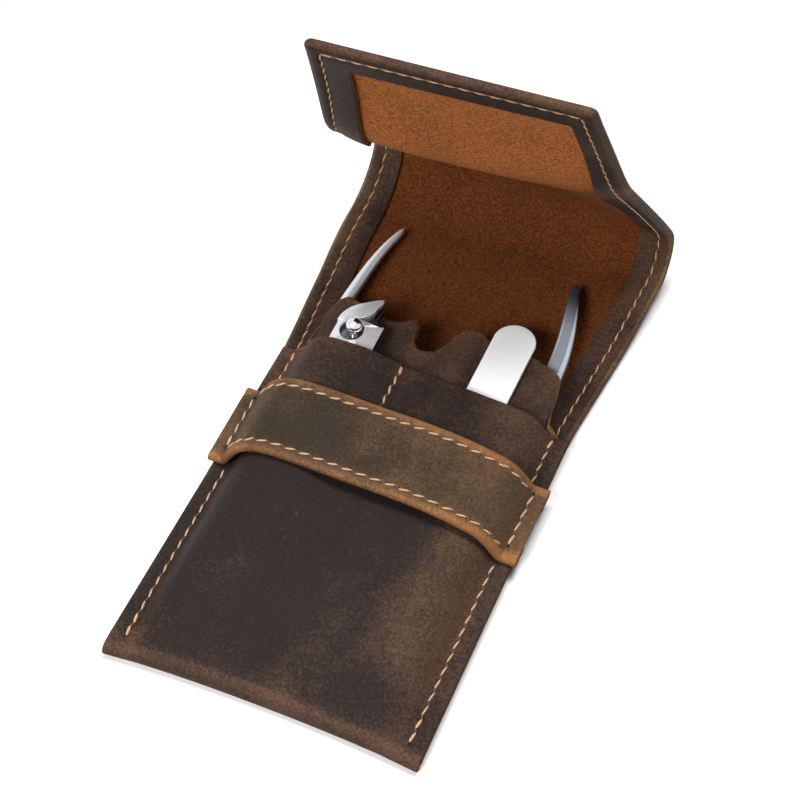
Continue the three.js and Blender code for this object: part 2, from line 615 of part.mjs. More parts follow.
// Nail clipper, face up in the left front pocket, with its lever folded on its arms
const clipper = new THREE.Group();
const clipperRear = POUCH_L + CLIPPER_OUT - CLIPPER_L;
clipper.position.set(CLIPPER_X, clipperRear, toolZ);
const postY = CLIPPER_L - POST_BACK;
const upperZ = ARM_T + ARM_GAP;
const leverZ = upperZ + ARM_T + CLEAR;
const armOutline = ARM_OUTLINE_SHARES.map(([x, y]) => [(x * CLIPPER_W) / 2, y * CLIPPER_L]);
function arm(name, z) {
  let solid = toSolid(plate(armOutline, z, ARM_T));
  for (const [y, radius] of [[postY, POST_R], [RIVET_BACK, RIVET_R]]) {
    solid = solid.subtract(toSolid(disc(0, y, radius + CLEAR, z - CLEAR, ARM_T + 2 * CLEAR)));
  }
  mesh(clipper, name, toGeometry(solid), polished);
}
arm('clipper_lower_arm', 0);
arm('clipper_upper_arm', upperZ);
const leverFrom = postY + LEVER_HOLE[1] + BALL_R - LEVER_L;
const leverOutline = LEVER_OUTLINE_SHARES.map(([x, y]) => [(x * LEVER_W) / 2, leverFrom + y * LEVER_L]);
const leverHole = disc(0, 0, 1, leverZ - CLEAR, LEVER_T + 2 * CLEAR).scale(LEVER_HOLE[0], LEVER_HOLE[1], 1)
  .translate(0, postY, 0);
mesh(clipper, 'clipper_lever', toGeometry(
  toSolid(plate(leverOutline, leverZ, LEVER_T)).subtract(toSolid(leverHole)),
), polished);
const ballZ = leverZ + LEVER_T + BALL_UP;
const postProfile = [[0, 0], [POST_R, 0]];
for (const t of steps(8, 0)) {
  const start = Math.asin(POST_R / BALL_R);
  const angle = lerp(start, Math.PI, t);
  postProfile.push([t === 1 ? 0 : BALL_R * Math.sin(angle), ballZ - BALL_R * Math.cos(angle)]);
}
mesh(clipper, 'clipper_post', new THREE.LatheGeometry(
  postProfile.map(([x, y]) => new THREE.Vector2(x, y)), 16,
).rotateX(Math.PI / 2).translate(0, postY, 0), polished);
mesh(clipper, 'clipper_rivet', disc(0, RIVET_BACK, RIVET_R, 0, upperZ + ARM_T, 16), polished);

// Nippers, head down behind the divider, with their handles spread by two leaf springs
const nippers = new THREE.Group();
nippers.position.set(NIPPER_X, PIVOT_Y, 0);
const handleL = POUCH_L + HANDLE_OUT - PIVOT_Y;
const jointZ = HIDE + CLEAR;
const lapZ = jointZ + JOINT_T / 2;
// Clear of the divider's top, the handles rise over the free part of the back panel
const dividerTop = POUCH_L * Math.max(...DIVIDER_TOP_SHARES.map(([, y]) => y));
const handleEnd = POUCH_L + HANDLE_OUT - HANDLE_W;
const handleZ = (y) => {
  const low = lerp(handleLowZ, handleMouthZ, mouthRise(PIVOT_Y + y));
  return low + HANDLE_TIP_RISE * smooth((PIVOT_Y + y - dividerTop) / (handleEnd - dividerTop));
};
// Eight points round each handle section
const RING_SHARES = steps(8, 0).slice(0, 8).map((t) => (t + 1 / 16) * 2 * Math.PI);
function handleSolid(sign) {
  const path = HANDLE_SHARES.map(([along, out]) => {
    const y = along * handleL;
    return vec(sign * out * HANDLE_SPREAD, y, handleZ(y));
  });
  return toSolid(sweepGeometry(path.map((at, i) => {
    const ahead = path[Math.min(i + 1, path.length - 1)];
    const behind = path[Math.max(i - 1, 0)];
    const side = ahead.clone().sub(behind).setZ(0).normalize().cross(up);
    const [, , wide, thick] = HANDLE_SHARES[i];
    const section = RING_SHARES.map((angle) => [
      (Math.cos(angle) * wide * HANDLE_W) / 2, (Math.sin(angle) * thick * HANDLE_T) / 2,
    ]);
    return { at, side, up, section };
  })));
}
function nipperHalf(name, sign) {
  // The handle is on one side and the jaw on the other, joined across the lap
  const [first, second, third] = HANDLE_SHARES;
  const root = [first, second, third].map(([along, out]) => [sign * out * HANDLE_SPREAD, along * handleL]);
  const w = HANDLE_W / 2;
  const neck = [
    [sign * w / 2, 0], [sign * (JOINT_R - w / 2), w], [root[1][0] + sign * w, root[1][1] - w / 2],
    [root[1][0] - sign * w / 2, root[1][1] + w], [sign * w / 2, JOINT_R],
  ];
  const jaw = JAW_OUTLINE_SHARES.map(([x, y]) => [
    -sign * (JAW_GAP / 2 + x * JAW_W), -y * JAW_L,
  ]);
  const wind = (outline) => (THREE.ShapeUtils.isClockWise(outline.map(([x, y]) => new THREE.Vector2(x, y)))
    ? [...outline].reverse() : outline);
  const height = JOINT_T;
  const neckHeight = 2 * (handleLowZ - jointZ);
  let solid = toSolid(disc(0, 0, JOINT_R, jointZ, height))
    .add(toSolid(plate(wind(neck), jointZ, neckHeight)))
    .add(toSolid(plate(wind(jaw), jointZ, height)))
    .add(handleSolid(sign));
  const lapFrom = sign < 0 ? lapZ - CLEAR / 2 : jointZ - HANDLE_T;
  const lapTo = sign < 0 ? jointZ + height + HANDLE_T : lapZ + CLEAR / 2;
  solid = solid.subtract(toSolid(disc(0, 0, JOINT_R + CLEAR, lapFrom, lapTo - lapFrom)));
  solid = solid.subtract(toSolid(disc(0, 0, SCREW_R + CLEAR, jointZ - CLEAR, height + 2 * CLEAR)));
  mesh(nippers, name, toGeometry(solid), polished);
}
nipperHalf('nipper_half_left', -1);
nipperHalf('nipper_half_right', 1);
mesh(nippers, 'nipper_screw', disc(0, 0, SCREW_R, jointZ, JOINT_T), polished);
for (const [side, sign] of [['left', -1], ['right', 1]]) {
  const path = SPRING_SHARES.map(([x, y]) => vec(sign * x * HANDLE_SPREAD, y * handleL, handleLowZ));
  const section = [
    [-SPRING_T / 2, -SPRING_W / 2], [SPRING_T / 2, -SPRING_W / 2],
    [SPRING_T / 2, SPRING_W / 2], [-SPRING_T / 2, SPRING_W / 2],
  ];
  mesh(nippers, `nipper_spring_${side}`, sweepGeometry(path.map((at, i) => {
    const ahead = path[Math.min(i + 1, path.length - 1)];
    const behind = path[Math.max(i - 1, 0)];
    return { at, side: ahead.clone().sub(behind).normalize().cross(up), up, section };
  })), polished);
}

// The origin goes under the middle of the pouch
const bag = new THREE.Group();
pouch.position.y = -POUCH_L / 2;
pouch.add(flap, tongue, file, clipper, nippers);
bag.add(pouch);

export default bag;
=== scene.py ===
import math
import bmesh
import bpy
from mathutils import Matrix, Vector


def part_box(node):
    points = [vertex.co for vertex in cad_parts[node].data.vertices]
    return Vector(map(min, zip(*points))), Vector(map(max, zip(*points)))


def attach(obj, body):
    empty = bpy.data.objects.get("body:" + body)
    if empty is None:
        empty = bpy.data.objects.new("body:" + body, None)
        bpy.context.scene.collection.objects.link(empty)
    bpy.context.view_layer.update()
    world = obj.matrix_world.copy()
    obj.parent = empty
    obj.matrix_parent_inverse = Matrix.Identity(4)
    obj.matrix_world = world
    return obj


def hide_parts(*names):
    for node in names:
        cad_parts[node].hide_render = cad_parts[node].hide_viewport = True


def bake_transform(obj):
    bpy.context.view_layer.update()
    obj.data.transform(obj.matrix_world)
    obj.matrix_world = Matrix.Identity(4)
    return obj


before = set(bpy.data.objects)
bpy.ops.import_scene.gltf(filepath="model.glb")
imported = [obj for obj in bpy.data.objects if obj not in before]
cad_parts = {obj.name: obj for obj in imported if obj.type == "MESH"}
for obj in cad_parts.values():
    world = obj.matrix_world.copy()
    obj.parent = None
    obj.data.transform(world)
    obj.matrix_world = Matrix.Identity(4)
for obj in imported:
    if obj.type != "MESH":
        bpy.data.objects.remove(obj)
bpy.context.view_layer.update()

MM = 0.001
WHITE = (1.0, 1.0, 1.0, 1.0)


def mm(x, y, z):
    return Vector((x * MM, y * MM, z * MM))


def mix(a, b, t):
    return a + (b - a) * t


def smooth(t):
    t = min(max(t, 0.0), 1.0)
    return t * t * (3 - 2 * t)


def from_table(rows, x, rounding=0.0):
    """Value of a table of (place, value) rows at x, with its corners rounded a little."""
    def at(v):
        if v <= rows[0][0]:
            return rows[0][1]
        for (x0, y0), (x1, y1) in zip(rows, rows[1:]):
            if v <= x1:
                return mix(y0, y1, (v - x0) / (x1 - x0))
        return rows[-1][1]
    if not rounding:
        return at(x)
    return (at(x - rounding) + 2 * at(x - rounding / 2) + 2 * at(x) + 2 * at(x + rounding / 2)
            + at(x + rounding)) / 8


def noise(x, y, seed=0.0):
    """Smooth waves that never repeat in step, from -1 to 1, for the small unevenness of hide."""
    return (math.sin(0.71 * x + 1.3 * y + seed) + math.sin(1.37 * x - 0.83 * y + 2.1 * seed + 1)
            + math.sin(-0.53 * x + 0.47 * y + 0.7 * seed + 2)) / 3


# Colours and node groups

def srgb(r, g, b):
    def linear(c):
        c /= 255
        return c / 12.92 if c <= 0.04045 else ((c + 0.055) / 1.055) ** 2.4
    return (linear(r), linear(g), linear(b), 1.0)


def new_group(name, inputs, outputs):
    tree = bpy.data.node_groups.new(name, "ShaderNodeTree")
    for label, kind, value in inputs:
        socket = tree.interface.new_socket(name=label, in_out="INPUT", socket_type=kind)
        socket.default_value = value
    for label, kind in outputs:
        tree.interface.new_socket(name=label, in_out="OUTPUT", socket_type=kind)
    start = tree.nodes.new("NodeGroupInput")
    end = tree.nodes.new("NodeGroupOutput")
    return tree, start, end


def add(tree, kind, **values):
    node = tree.nodes.new(kind)
    for key, value in values.items():
        setattr(node, key, value)
    return node


def put(node, **values):
    """Sets a node's inputs by their labels, written with _ for a blank."""
    for label, value in values.items():
        node.inputs[label.replace("_", " ")].default_value = value
    return node


def feed(tree, value, socket):
    """Sets a plain number or colour on a socket, or links another node's output to it."""
    if isinstance(value, (int, float, tuple)):
        socket.default_value = value
    else:
        tree.links.new(value, socket)


def math_node(tree, operation, a, b, clamp=False):
    node = add(tree, "ShaderNodeMath", operation=operation, use_clamp=clamp)
    for socket, value in zip(node.inputs, (a, b)):
        feed(tree, value, socket)
    return node.outputs[0]


def plus(tree, a, b, clamp=False):
    return math_node(tree, "ADD", a, b, clamp)


def times(tree, a, b):
    return math_node(tree, "MULTIPLY", a, b)


def swing(tree, value, strength):
    """A noise's swing round its mean, times a strength."""
    return times(tree, math_node(tree, "SUBTRACT", value, 0.5), strength)


def mix_colour(tree, factor, a, b, blend="MIX"):
    node = add(tree, "ShaderNodeMix", data_type="RGBA", blend_type=blend)
    for socket, value in zip((node.inputs[0], node.inputs[6], node.inputs[7]), (factor, a, b)):
        feed(tree, value, socket)
    return node.outputs[2]


def noise_node(tree, vector, scale, detail, roughness, stretch=None):
    node = put(add(tree, "ShaderNodeTexNoise"), Scale=scale, Detail=detail, Roughness=roughness)
    if stretch:
        mapping = put(add(tree, "ShaderNodeMapping"), Scale=stretch)
        tree.links.new(vector, mapping.inputs["Vector"])
        vector = mapping.outputs[0]
    tree.links.new(vector, node.inputs["Vector"])
    return node.outputs[0]


def ramp(tree, value, low, high):
    node = put(add(tree, "ShaderNodeMapRange", interpolation_type="SMOOTHSTEP"), From_Min=low, From_Max=high)
    tree.links.new(value, node.inputs["Value"])
    return node.outputs[0]


def pull_up_group():
    """Waxed hide: dark where it is full of wax, brown where it is bent or rubbed and where its Rub input
    holds a painted highlight, with pores and scuffs.
    """
    tree, start, end = new_group("waxed_hide", [
        ("Vector", "NodeSocketVector", (0, 0, 0)), ("Rub", "NodeSocketFloat", 0.0),
        ("Dark", "NodeSocketColor", (0.04, 0.03, 0.02, 1)),
        ("Brown", "NodeSocketColor", (0.1, 0.05, 0.02, 1)),
        ("Tan", "NodeSocketColor", (0.2, 0.11, 0.05, 1)),
        ("Mottle", "NodeSocketFloat", 0.5),
    ], [("Color", "NodeSocketColor"), ("Roughness", "NodeSocketFloat"), ("Height", "NodeSocketFloat")])
    vector, rub_and_painted_highlight, dark, brown, tan, mottle = start.outputs[:6]
    cloud = noise_node(tree, vector, scale=38, detail=5, roughness=0.6)
    smear = noise_node(tree, vector, scale=90, detail=5, roughness=0.65, stretch=(1, 0.35, 1))
    fine = noise_node(tree, vector, scale=1300, detail=5, roughness=0.75)
    pores = put(add(tree, "ShaderNodeTexVoronoi", feature="DISTANCE_TO_EDGE"), Scale=1500, Randomness=1)
    tree.links.new(vector, pores.inputs["Vector"])
    patches = times(tree, ramp(tree, cloud, 0.42, 0.72), mottle)
    streaks = times(tree, ramp(tree, smear, 0.45, 0.75), mottle)
    lightness = plus(tree, plus(tree, rub_and_painted_highlight, patches), times(tree, streaks, 0.6))
    uneven = plus(tree, lightness, swing(tree, fine, 1.1))
    base = mix_colour(tree, ramp(tree, uneven, 0.05, 0.75), dark, brown)
    base = mix_colour(tree, ramp(tree, uneven, 0.7, 1.35), base, tan)
    speck = mix_colour(tree, ramp(tree, fine, 0.35, 0.7), base, WHITE, "SOFT_LIGHT")
    tree.links.new(mix_colour(tree, 0.5, base, speck), end.inputs["Color"])
    rough = plus(tree, 0.54, times(tree, lightness, 0.1))
    rough = plus(tree, rough, swing(tree, fine, 0.22), clamp=True)
    tree.links.new(rough, end.inputs["Roughness"])
    pits = times(tree, ramp(tree, pores.outputs[0], 0.0, 0.12), 0.5)
    grain = plus(tree, pits, times(tree, fine, 0.7))
    grain = plus(tree, grain, times(tree, smear, 0.8))
    tree.links.new(grain, end.inputs["Height"])
    return tree


def nap_group():
    """Suede: a short pile that stands in small tufts, lighter and darker by the way it was brushed."""
    tree, start, end = new_group("suede_nap", [
        ("Vector", "NodeSocketVector", (0, 0, 0)),
        ("Deep", "NodeSocketColor", (0.1, 0.03, 0.01, 1)),
        ("Lit", "NodeSocketColor", (0.4, 0.15, 0.04, 1)),
    ], [("Color", "NodeSocketColor"), ("Height", "NodeSocketFloat")])
    vector, deep, lit = start.outputs[:3]
    tufts = noise_node(tree, vector, scale=2400, detail=2, roughness=0.6)
    clumps = noise_node(tree, vector, scale=1150, detail=3, roughness=0.6)
    stroke = noise_node(tree, vector, scale=60, detail=3, roughness=0.5, stretch=(1, 0.6, 1))
    nap_and_painted_shade = plus(tree, times(tree, tufts, 0.6), times(tree, clumps, 0.4))
    nap_and_painted_shade = plus(tree, nap_and_painted_shade, swing(tree, stroke, 0.1))
    tree.links.new(mix_colour(tree, ramp(tree, nap_and_painted_shade, 0.34, 0.66), deep, lit), end.inputs["Color"])
    tree.links.new(nap_and_painted_shade, end.inputs["Height"])
    return tree


def wear_group():
    """Fine hairlines and smudges of handled metal, with painted glints: white specks in its colour."""
    tree, start, end = new_group("handled_metal", [
        ("Vector", "NodeSocketVector", (0, 0, 0)), ("Base", "NodeSocketColor", (0.7, 0.7, 0.7, 1)),
        ("Smooth", "NodeSocketFloat", 0.1), ("Grit", "NodeSocketFloat", 0.05),
    ], [("Color", "NodeSocketColor"), ("Roughness", "NodeSocketFloat"), ("Height", "NodeSocketFloat")])
    vector, base, even, grit = start.outputs[:4]
    lines = noise_node(tree, vector, scale=260, detail=3, roughness=0.5, stretch=(6, 0.3, 6))
    smudge = noise_node(tree, vector, scale=120, detail=3, roughness=0.5)
    speck = noise_node(tree, vector, scale=2600, detail=2, roughness=0.6)
    worn = times(tree, plus(tree, ramp(tree, smudge, 0.4, 0.8), lines), grit)
    tree.links.new(plus(tree, even, worn, clamp=True), end.inputs["Roughness"])
    # Painted glints: white specks mixed into the colour
    glint = times(tree, ramp(tree, speck, 0.4, 0.75), 0.25)
    tree.links.new(mix_colour(tree, glint, base, WHITE), end.inputs["Color"])
    tree.links.new(plus(tree, speck, lines), end.inputs["Height"])
    return tree


WAXED_HIDE = pull_up_group()
SUEDE_NAP = nap_group()
HANDLED_METAL = wear_group()


def start_material(name):
    material = bpy.data.materials.new(name)
    material.use_nodes = True
    tree = material.node_tree
    shader = tree.nodes["Principled BSDF"]
    place = add(tree, "ShaderNodeTexCoord").outputs["Object"]
    return material, tree, shader, place


def pattern(tree, place, group, **values):
    """A node of one of the groups above, in the piece's own coordinates."""
    node = put(add(tree, "ShaderNodeGroup", node_tree=group), **values)
    tree.links.new(place, node.inputs["Vector"])
    return node


def add_bump(tree, shader, height, strength, distance):
    """A bump whose full height is a distance in mm."""
    bump = put(add(tree, "ShaderNodeBump"), Strength=strength, Distance=distance * MM)
    tree.links.new(height, bump.inputs["Height"])
    tree.links.new(bump.outputs[0], shader.inputs["Normal"])


def hide_material(name, dark, brown, tan, mottle, rub_and_painted_highlight=0.0):
    """Waxed hide in three tones; rub_and_painted_highlight is added to the piece's own wear and painted
    highlight, its attribute of that name.
    """
    material, tree, shader, place = start_material(name)
    group = pattern(tree, place, WAXED_HIDE, Mottle=mottle, Dark=srgb(*dark), Brown=srgb(*brown),
                    Tan=srgb(*tan))
    # The attribute holds wear, and on the front and the strap also painted highlights
    worn = add(tree, "ShaderNodeAttribute", attribute_name="rub_and_painted_highlight")
    tree.links.new(plus(tree, worn.outputs["Fac"], rub_and_painted_highlight), group.inputs["Rub"])
    tree.links.new(group.outputs["Color"], shader.inputs["Base Color"])
    tree.links.new(group.outputs["Roughness"], shader.inputs["Roughness"])
    put(shader, Specular_IOR_Level=0.06)
    add_bump(tree, shader, group.outputs["Height"], 0.6, 0.2)
    return material


def suede_material(name, deep, lit, painted_shade_tone=None):
    """Suede; painted_shade_tone: the tone it is multiplied by as painted shade, where its
    nap_and_painted_shade attribute is low.
    """
    material, tree, shader, place = start_material(name)
    group = pattern(tree, place, SUEDE_NAP, Deep=srgb(*deep), Lit=srgb(*lit))
    tone = group.outputs["Color"]
    if painted_shade_tone:
        # Painted shade: where the attribute is 0, over the whole back hide and in the flap's hollow, the
        # suede is multiplied darker
        nap_and_painted_shade = add(tree, "ShaderNodeAttribute", attribute_name="nap_and_painted_shade")
        tone = mix_colour(tree, nap_and_painted_shade.outputs["Fac"], mix_colour(tree, 1.0, tone, painted_shade_tone, "MULTIPLY"), tone)
    tree.links.new(tone, shader.inputs["Base Color"])
    put(shader, Roughness=0.95, Specular_IOR_Level=0.12, Sheen_Weight=0.12, Sheen_Roughness=0.5,
        Sheen_Tint=srgb(*lit))
    add_bump(tree, shader, group.outputs["Height"], 0.7, 0.4)
    return material


def metal_material(name, base, even, grit, bump=0.05, metallic=1.0, painted_reflection_span=None):
    """Steel; painted_reflection_span: the two lengths in mm between which its colour darkens along +Y, a
    painted dark reflection.
    """
    material, tree, shader, place = start_material(name)
    group = pattern(tree, place, HANDLED_METAL, Base=srgb(*base), Smooth=even, Grit=grit)
    tone = group.outputs["Color"]
    # Painted reflection: towards the far end the colour turns a dark blue-grey
    if painted_reflection_span:
        along = add(tree, "ShaderNodeSeparateXYZ")
        tree.links.new(place, along.inputs[0])
        painted_reflection_mask = ramp(tree, along.outputs["Y"], painted_reflection_span[0] * MM, painted_reflection_span[1] * MM)
        tone = mix_colour(tree, painted_reflection_mask, tone, srgb(70, 78, 92))
    tree.links.new(tone, shader.inputs["Base Color"])
    tree.links.new(group.outputs["Roughness"], shader.inputs["Roughness"])
    put(shader, Metallic=metallic)
    add_bump(tree, shader, group.outputs["Height"], bump, 0.05)
    return material


def thread_material(name, light, dark):
    material, tree, shader, place = start_material(name)
    twist = put(add(tree, "ShaderNodeTexWave", wave_type="BANDS", bands_direction="DIAGONAL"),
                Scale=900, Distortion=3, Detail=2)
    tree.links.new(place, twist.inputs["Vector"])
    tone = mix_colour(tree, ramp(tree, twist.outputs[1], 0.15, 0.7), srgb(*dark), srgb(*light))
    tree.links.new(tone, shader.inputs["Base Color"])
    put(shader, Roughness=0.62, Sheen_Weight=0.2)
    add_bump(tree, shader, twist.outputs[1], 0.5, 0.1)
    return material


hide_outside = hide_material("dark_waxed_hide", (31, 25, 23), (72, 53, 42), (116, 85, 60), 0.22)
hide_border = hide_material("border_hide", (38, 28, 24), (72, 53, 40), (112, 92, 66), 0.45)
divider_hide = hide_material("divider_hide", (44, 34, 31), (72, 54, 43), (122, 88, 62), 0.35, 0.06)
strap_hide = hide_material("olive_waxed_hide", (42, 34, 27), (74, 56, 40), (118, 80, 50), 0.4, 0.04)
# Painted shade: the dark inside the needle's holes, laid on flat discs
needle_hole_painted_shade = hide_material("needle_hole_painted_shade", (22, 16, 13), (30, 20, 14), (36, 26, 18), 0.2)
raw_edge = suede_material("cut_hide_edge", (84, 54, 36), (136, 92, 60))
# Its last tone is the painted shade of the back hide and of the flap's hollow
inner_suede = suede_material("orange_suede", (96, 50, 22), (170, 104, 54), (0.36, 0.31, 0.27, 1))
pocket_suede = suede_material("brown_suede", (66, 36, 20), (112, 66, 38))
torn_suede = suede_material("torn_red_suede", (84, 34, 22), (150, 72, 48))
pouch_thread = thread_material("beige_thread", (196, 154, 116), (128, 92, 64))
flap_thread = thread_material("tan_thread", (200, 156, 104), (130, 90, 54))
# Painted shade: darker copies of the two threads, for their dives between stitches where the thread lies in
# shade
flap_thread_painted_shade = thread_material("brown_thread_painted_shade", (132, 86, 50), (76, 46, 26))
pouch_thread_painted_shade = thread_material("dark_thread_painted_shade", (84, 54, 36), (44, 28, 20))
polished_steel = metal_material("polished_steel", (222, 223, 226), 0.1, 0.05)
satin_steel = metal_material("satin_steel", (242, 244, 247), 0.45, 0.1, bump=0.3, metallic=0.12)
# Painted reflection: the clipper's polished blades get a dark colour for the dark they reflect
steel_painted_dark_reflection = metal_material("steel_painted_dark_reflection", (96, 98, 104), 0.14, 0.06, metallic=0.85)
brushed_steel = metal_material("brushed_steel", (206, 208, 212), 0.2, 0.06, metallic=0.4)
handle_steel = metal_material("handle_steel", (226, 230, 236), 0.16, 0.05, bump=0.04, metallic=0.4)
# Painted reflection: the right handle's steel is a darker, bluer copy of the left's and darkens towards its
# tip
handle_steel_painted_reflection = metal_material("handle_steel_painted_reflection", (186, 196, 210), 0.14, 0.05, bump=0.04, metallic=0.55,
                                painted_reflection_span=(83, 97))

# Mesh helpers

def finish_mesh(name, bm, materials, body, nodes):
    """Makes a piece of a bmesh; it stands for the CAD nodes and rides on the body, where these are given."""
    mesh = bpy.data.meshes.new(name)
    bm.to_mesh(mesh)
    bm.free()
    for material in materials:
        mesh.materials.append(material)
    for face in mesh.polygons:
        face.use_smooth = True
    piece = bpy.data.objects.new(name, mesh)
    bpy.context.scene.collection.objects.link(piece)
    if nodes:
        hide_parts(*nodes)
    if body:
        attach(piece, body)
    return piece


def sheet_mesh(columns, rows, place, rub_and_painted_highlight=None, nap_and_painted_shade=None):
    """A grid of columns by rows points, each moved to place(i, j), with its wear and painted highlight, and
    its painted shade, as attributes.
    """
    bm = bmesh.new()
    bmesh.ops.create_grid(bm, x_segments=columns - 1, y_segments=rows - 1, size=1)
    layer = bm.verts.layers.float.new("rub_and_painted_highlight")
    # Painted shade of the suede: 0 where it is darkest, 1 where it is left light
    painted_shade_layer = bm.verts.layers.float.new("nap_and_painted_shade")
    for vert in bm.verts:
        i = round((vert.co.x + 1) / 2 * (columns - 1))
        j = round((vert.co.y + 1) / 2 * (rows - 1))
        vert.co = place(i, j)
        if rub_and_painted_highlight:
            vert[layer] = rub_and_painted_highlight(i, j)
        if nap_and_painted_shade:
            vert[painted_shade_layer] = nap_and_painted_shade(i, j)
    return bm


def thicken(piece, thickness, inner=1, bevel=None):
    """Gives a sheet its thickness in mm, half to each side; inner: the material of its inner side."""
    wall = piece.modifiers.new("wall", "SOLIDIFY")
    wall.thickness = thickness * MM
    wall.offset = 0
    wall.use_even_offset = False
    wall.material_offset = inner
    wall.material_offset_rim = 2
    if bevel:
        soft = piece.modifiers.new("soft_edge", "BEVEL")
        soft.width = bevel * MM
        soft.segments = 2
        soft.limit_method = "ANGLE"
        soft.angle_limit = math.radians(50)


# The pouch's own measures, in mm
SIDE_NAMES = ((-1, "left"), (1, "right"))
HIDE_T = 1.2
DIVIDER_T = 1.1
STRAP_T = 1.1
TURN = 1.2                      # height of the turned-in border over the hide
BORDER_W = 9.6
SEAM_IN = 4.0                   # from the edge to a seam
POUCH_L = 104.0
HALF_L = POUCH_L / 2
BOTTOM_HALF, MOUTH_HALF = 42.0, 40.7            # half widths of the pouch
SEAM_MARGIN = 5.3               # sewn flat at each side of the pouch
STRAP_FROM, STRAP_TO = 61.5, 86.5
PITCH = 3.9                     # from stitch to stitch

BACK_Z = 0.62                   # middle of the back hide where it lies on the ground
FRONT_SEAM_Z = 4.15             # middle of the front hide at the side seams
DIVIDER_SEAM_Z = 2.35
FRONT_H = 11.4
DIVIDER_H = 4.55

# Tables of (place, share of the full height or length). The place is a share across, from -1 on the left
# to 1 on the right; in FULL and DIVIDER_FULL it is a share along the pouch.
FRONT_ARCH = [
    (-1.02, 0), (-1, 0), (-0.95, 0.33), (-0.9, 0.65), (-0.86, 0.78), (-0.8, 0.89), (-0.74, 0.945),
    (-0.65, 0.97), (-0.5, 0.975), (-0.42, 0.95), (-0.3, 0.87), (-0.16, 0.78), (0, 0.75), (0.2, 0.72),
    (0.3, 0.7), (0.45, 0.68), (0.64, 0.64), (0.8, 0.58), (0.86, 0.53), (0.9, 0.44), (0.95, 0.27),
    (1, 0), (1.02, 0),
]
FULL = [(0, 0.06), (0.03, 0.12), (0.12, 0.46), (0.2, 0.79), (0.28, 1), (1, 1)]
DIVIDER_ARCH = [
    (-1.02, 0), (-0.985, 0), (-0.95, 0.3), (-0.91, 0.95), (-0.89, 1), (-0.38, 1), (-0.28, 1.5),
    (-0.16, 1.52), (0, 1.52), (0.22, 1.5), (0.27, 1), (0.89, 1), (0.91, 0.95), (0.95, 0.3),
    (0.985, 0), (1.02, 0),
]
DIVIDER_FULL = [(0, 0), (0.03, 0), (0.12, 0.36), (0.2, 0.72), (0.28, 1), (2, 1)]
DIVIDER_TOP = [
    (-1, 0.995), (-0.965, 0.995), (-0.95, 1.1), (-0.935, 1.14), (-0.905, 1.175), (-0.85, 1.19),
    (-0.72, 1.18), (-0.52, 1.155), (-0.38, 1.158), (-0.245, 1.172), (-0.235, 1.14), (-0.215, 1.105),
    (-0.18, 1.082), (-0.11, 1.077), (-0.03, 1.09), (0.03, 1.122), (0.06, 1.155), (0.095, 1.178),
    (0.15, 1.19), (0.25, 1.193), (0.45, 1.19), (0.66, 1.185), (0.84, 1.172), (0.91, 1.158),
    (0.955, 1.12), (0.975, 0.995), (1, 0.995),
]
STRAP_ARCH = [
    (-1.15, 0), (-1.065, 0), (-1.035, 0.03), (-1.014, 0.1), (-0.992, 0.22), (-0.97, 0.37),
    (-0.926, 0.59), (-0.88, 0.735), (-0.84, 0.82), (-0.8, 0.875), (-0.74, 0.925), (-0.65, 0.95),
    (-0.5, 0.955), (-0.3, 0.95), (-0.16, 0.94), (0, 0.93), (0.2, 0.91), (0.45, 0.85), (0.64, 0.765),
    (0.8, 0.655), (0.84, 0.61), (0.88, 0.53), (0.926, 0.39), (0.97, 0.2), (0.992, 0.115),
    (1.014, 0.04), (1.035, 0.005), (1.065, 0), (1.15, 0),
]


def pouch_half(y):
    """Half width of the pouch at a length from its bottom fold."""
    return mix(BOTTOM_HALF, MOUTH_HALF, min(y, POUCH_L) / POUCH_L)


def front_z(x, y):
    """Middle of the front hide over the ground."""
    inside = pouch_half(y) - SEAM_MARGIN
    full = from_table(FULL, y / POUCH_L, 0.03)
    rise = FRONT_H * full * from_table(FRONT_ARCH, x / inside, 0.045)
    return FRONT_SEAM_Z - 0.6 + rise + 0.12 * noise(x * 0.35, y * 0.2, 3) * min(rise / 3, 1)


def divider_z(x, y):
    """Middle of the divider over the ground; near the mouth it lifts, and past it its arch widens."""
    inside = pouch_half(y) - SEAM_MARGIN
    full = from_table(DIVIDER_FULL, y / POUCH_L, 0.03)
    past = smooth((y - 103.5) / 3)
    arch = from_table(DIVIDER_ARCH, x / inside / (1 + (0.08 if x < 0 else 0.1) * past), 0.03)
    lift = 0.85 * smooth((y - POUCH_L + 18) / 10)
    return DIVIDER_SEAM_Z - 0.3 + DIVIDER_H * full * arch + lift * min(arch, 1)


# Where each long side of the hide runs past the mouth: the fold's start, its radius and the angle
# that the flap and the tongue stand at. The left side stands higher and rolls wider than the right.
SIDES = {
    -1: dict(start=(153.3, 4.1), rise=24.0, radius=18.95, flap=142.6, bend=(135.24, 60.73), tongue=111.0,
             edge=[(0, -41.2), (0.6, -43.9), (1, -44.3), (1.5, -43.2), (2, -42.5), (3, -40.6), (4, -37.2)],
             tongue_l=49.9),
    1: dict(start=(160.8, 3.75), rise=26.0, radius=10.55, flap=123.0, bend=(139.0, 67.4), tongue=115.6,
            edge=[(0, 40.4), (1, 45.8), (2, 45.7), (3, 40.1), (4, 36.5)], tongue_l=49.8),
}
BEND_SOFT = 0.1
# Between its doubled borders the bend sinks and is rounder: share across the hide, depth in mm
SAG = [(-0.1, 0), (0, 0), (0.05, 1.5), (0.12, 3.2), (0.3, 4.2), (0.6, 4.2), (0.82, 3.2), (0.92, 1.7),
       (1, 0), (1.1, 0)]


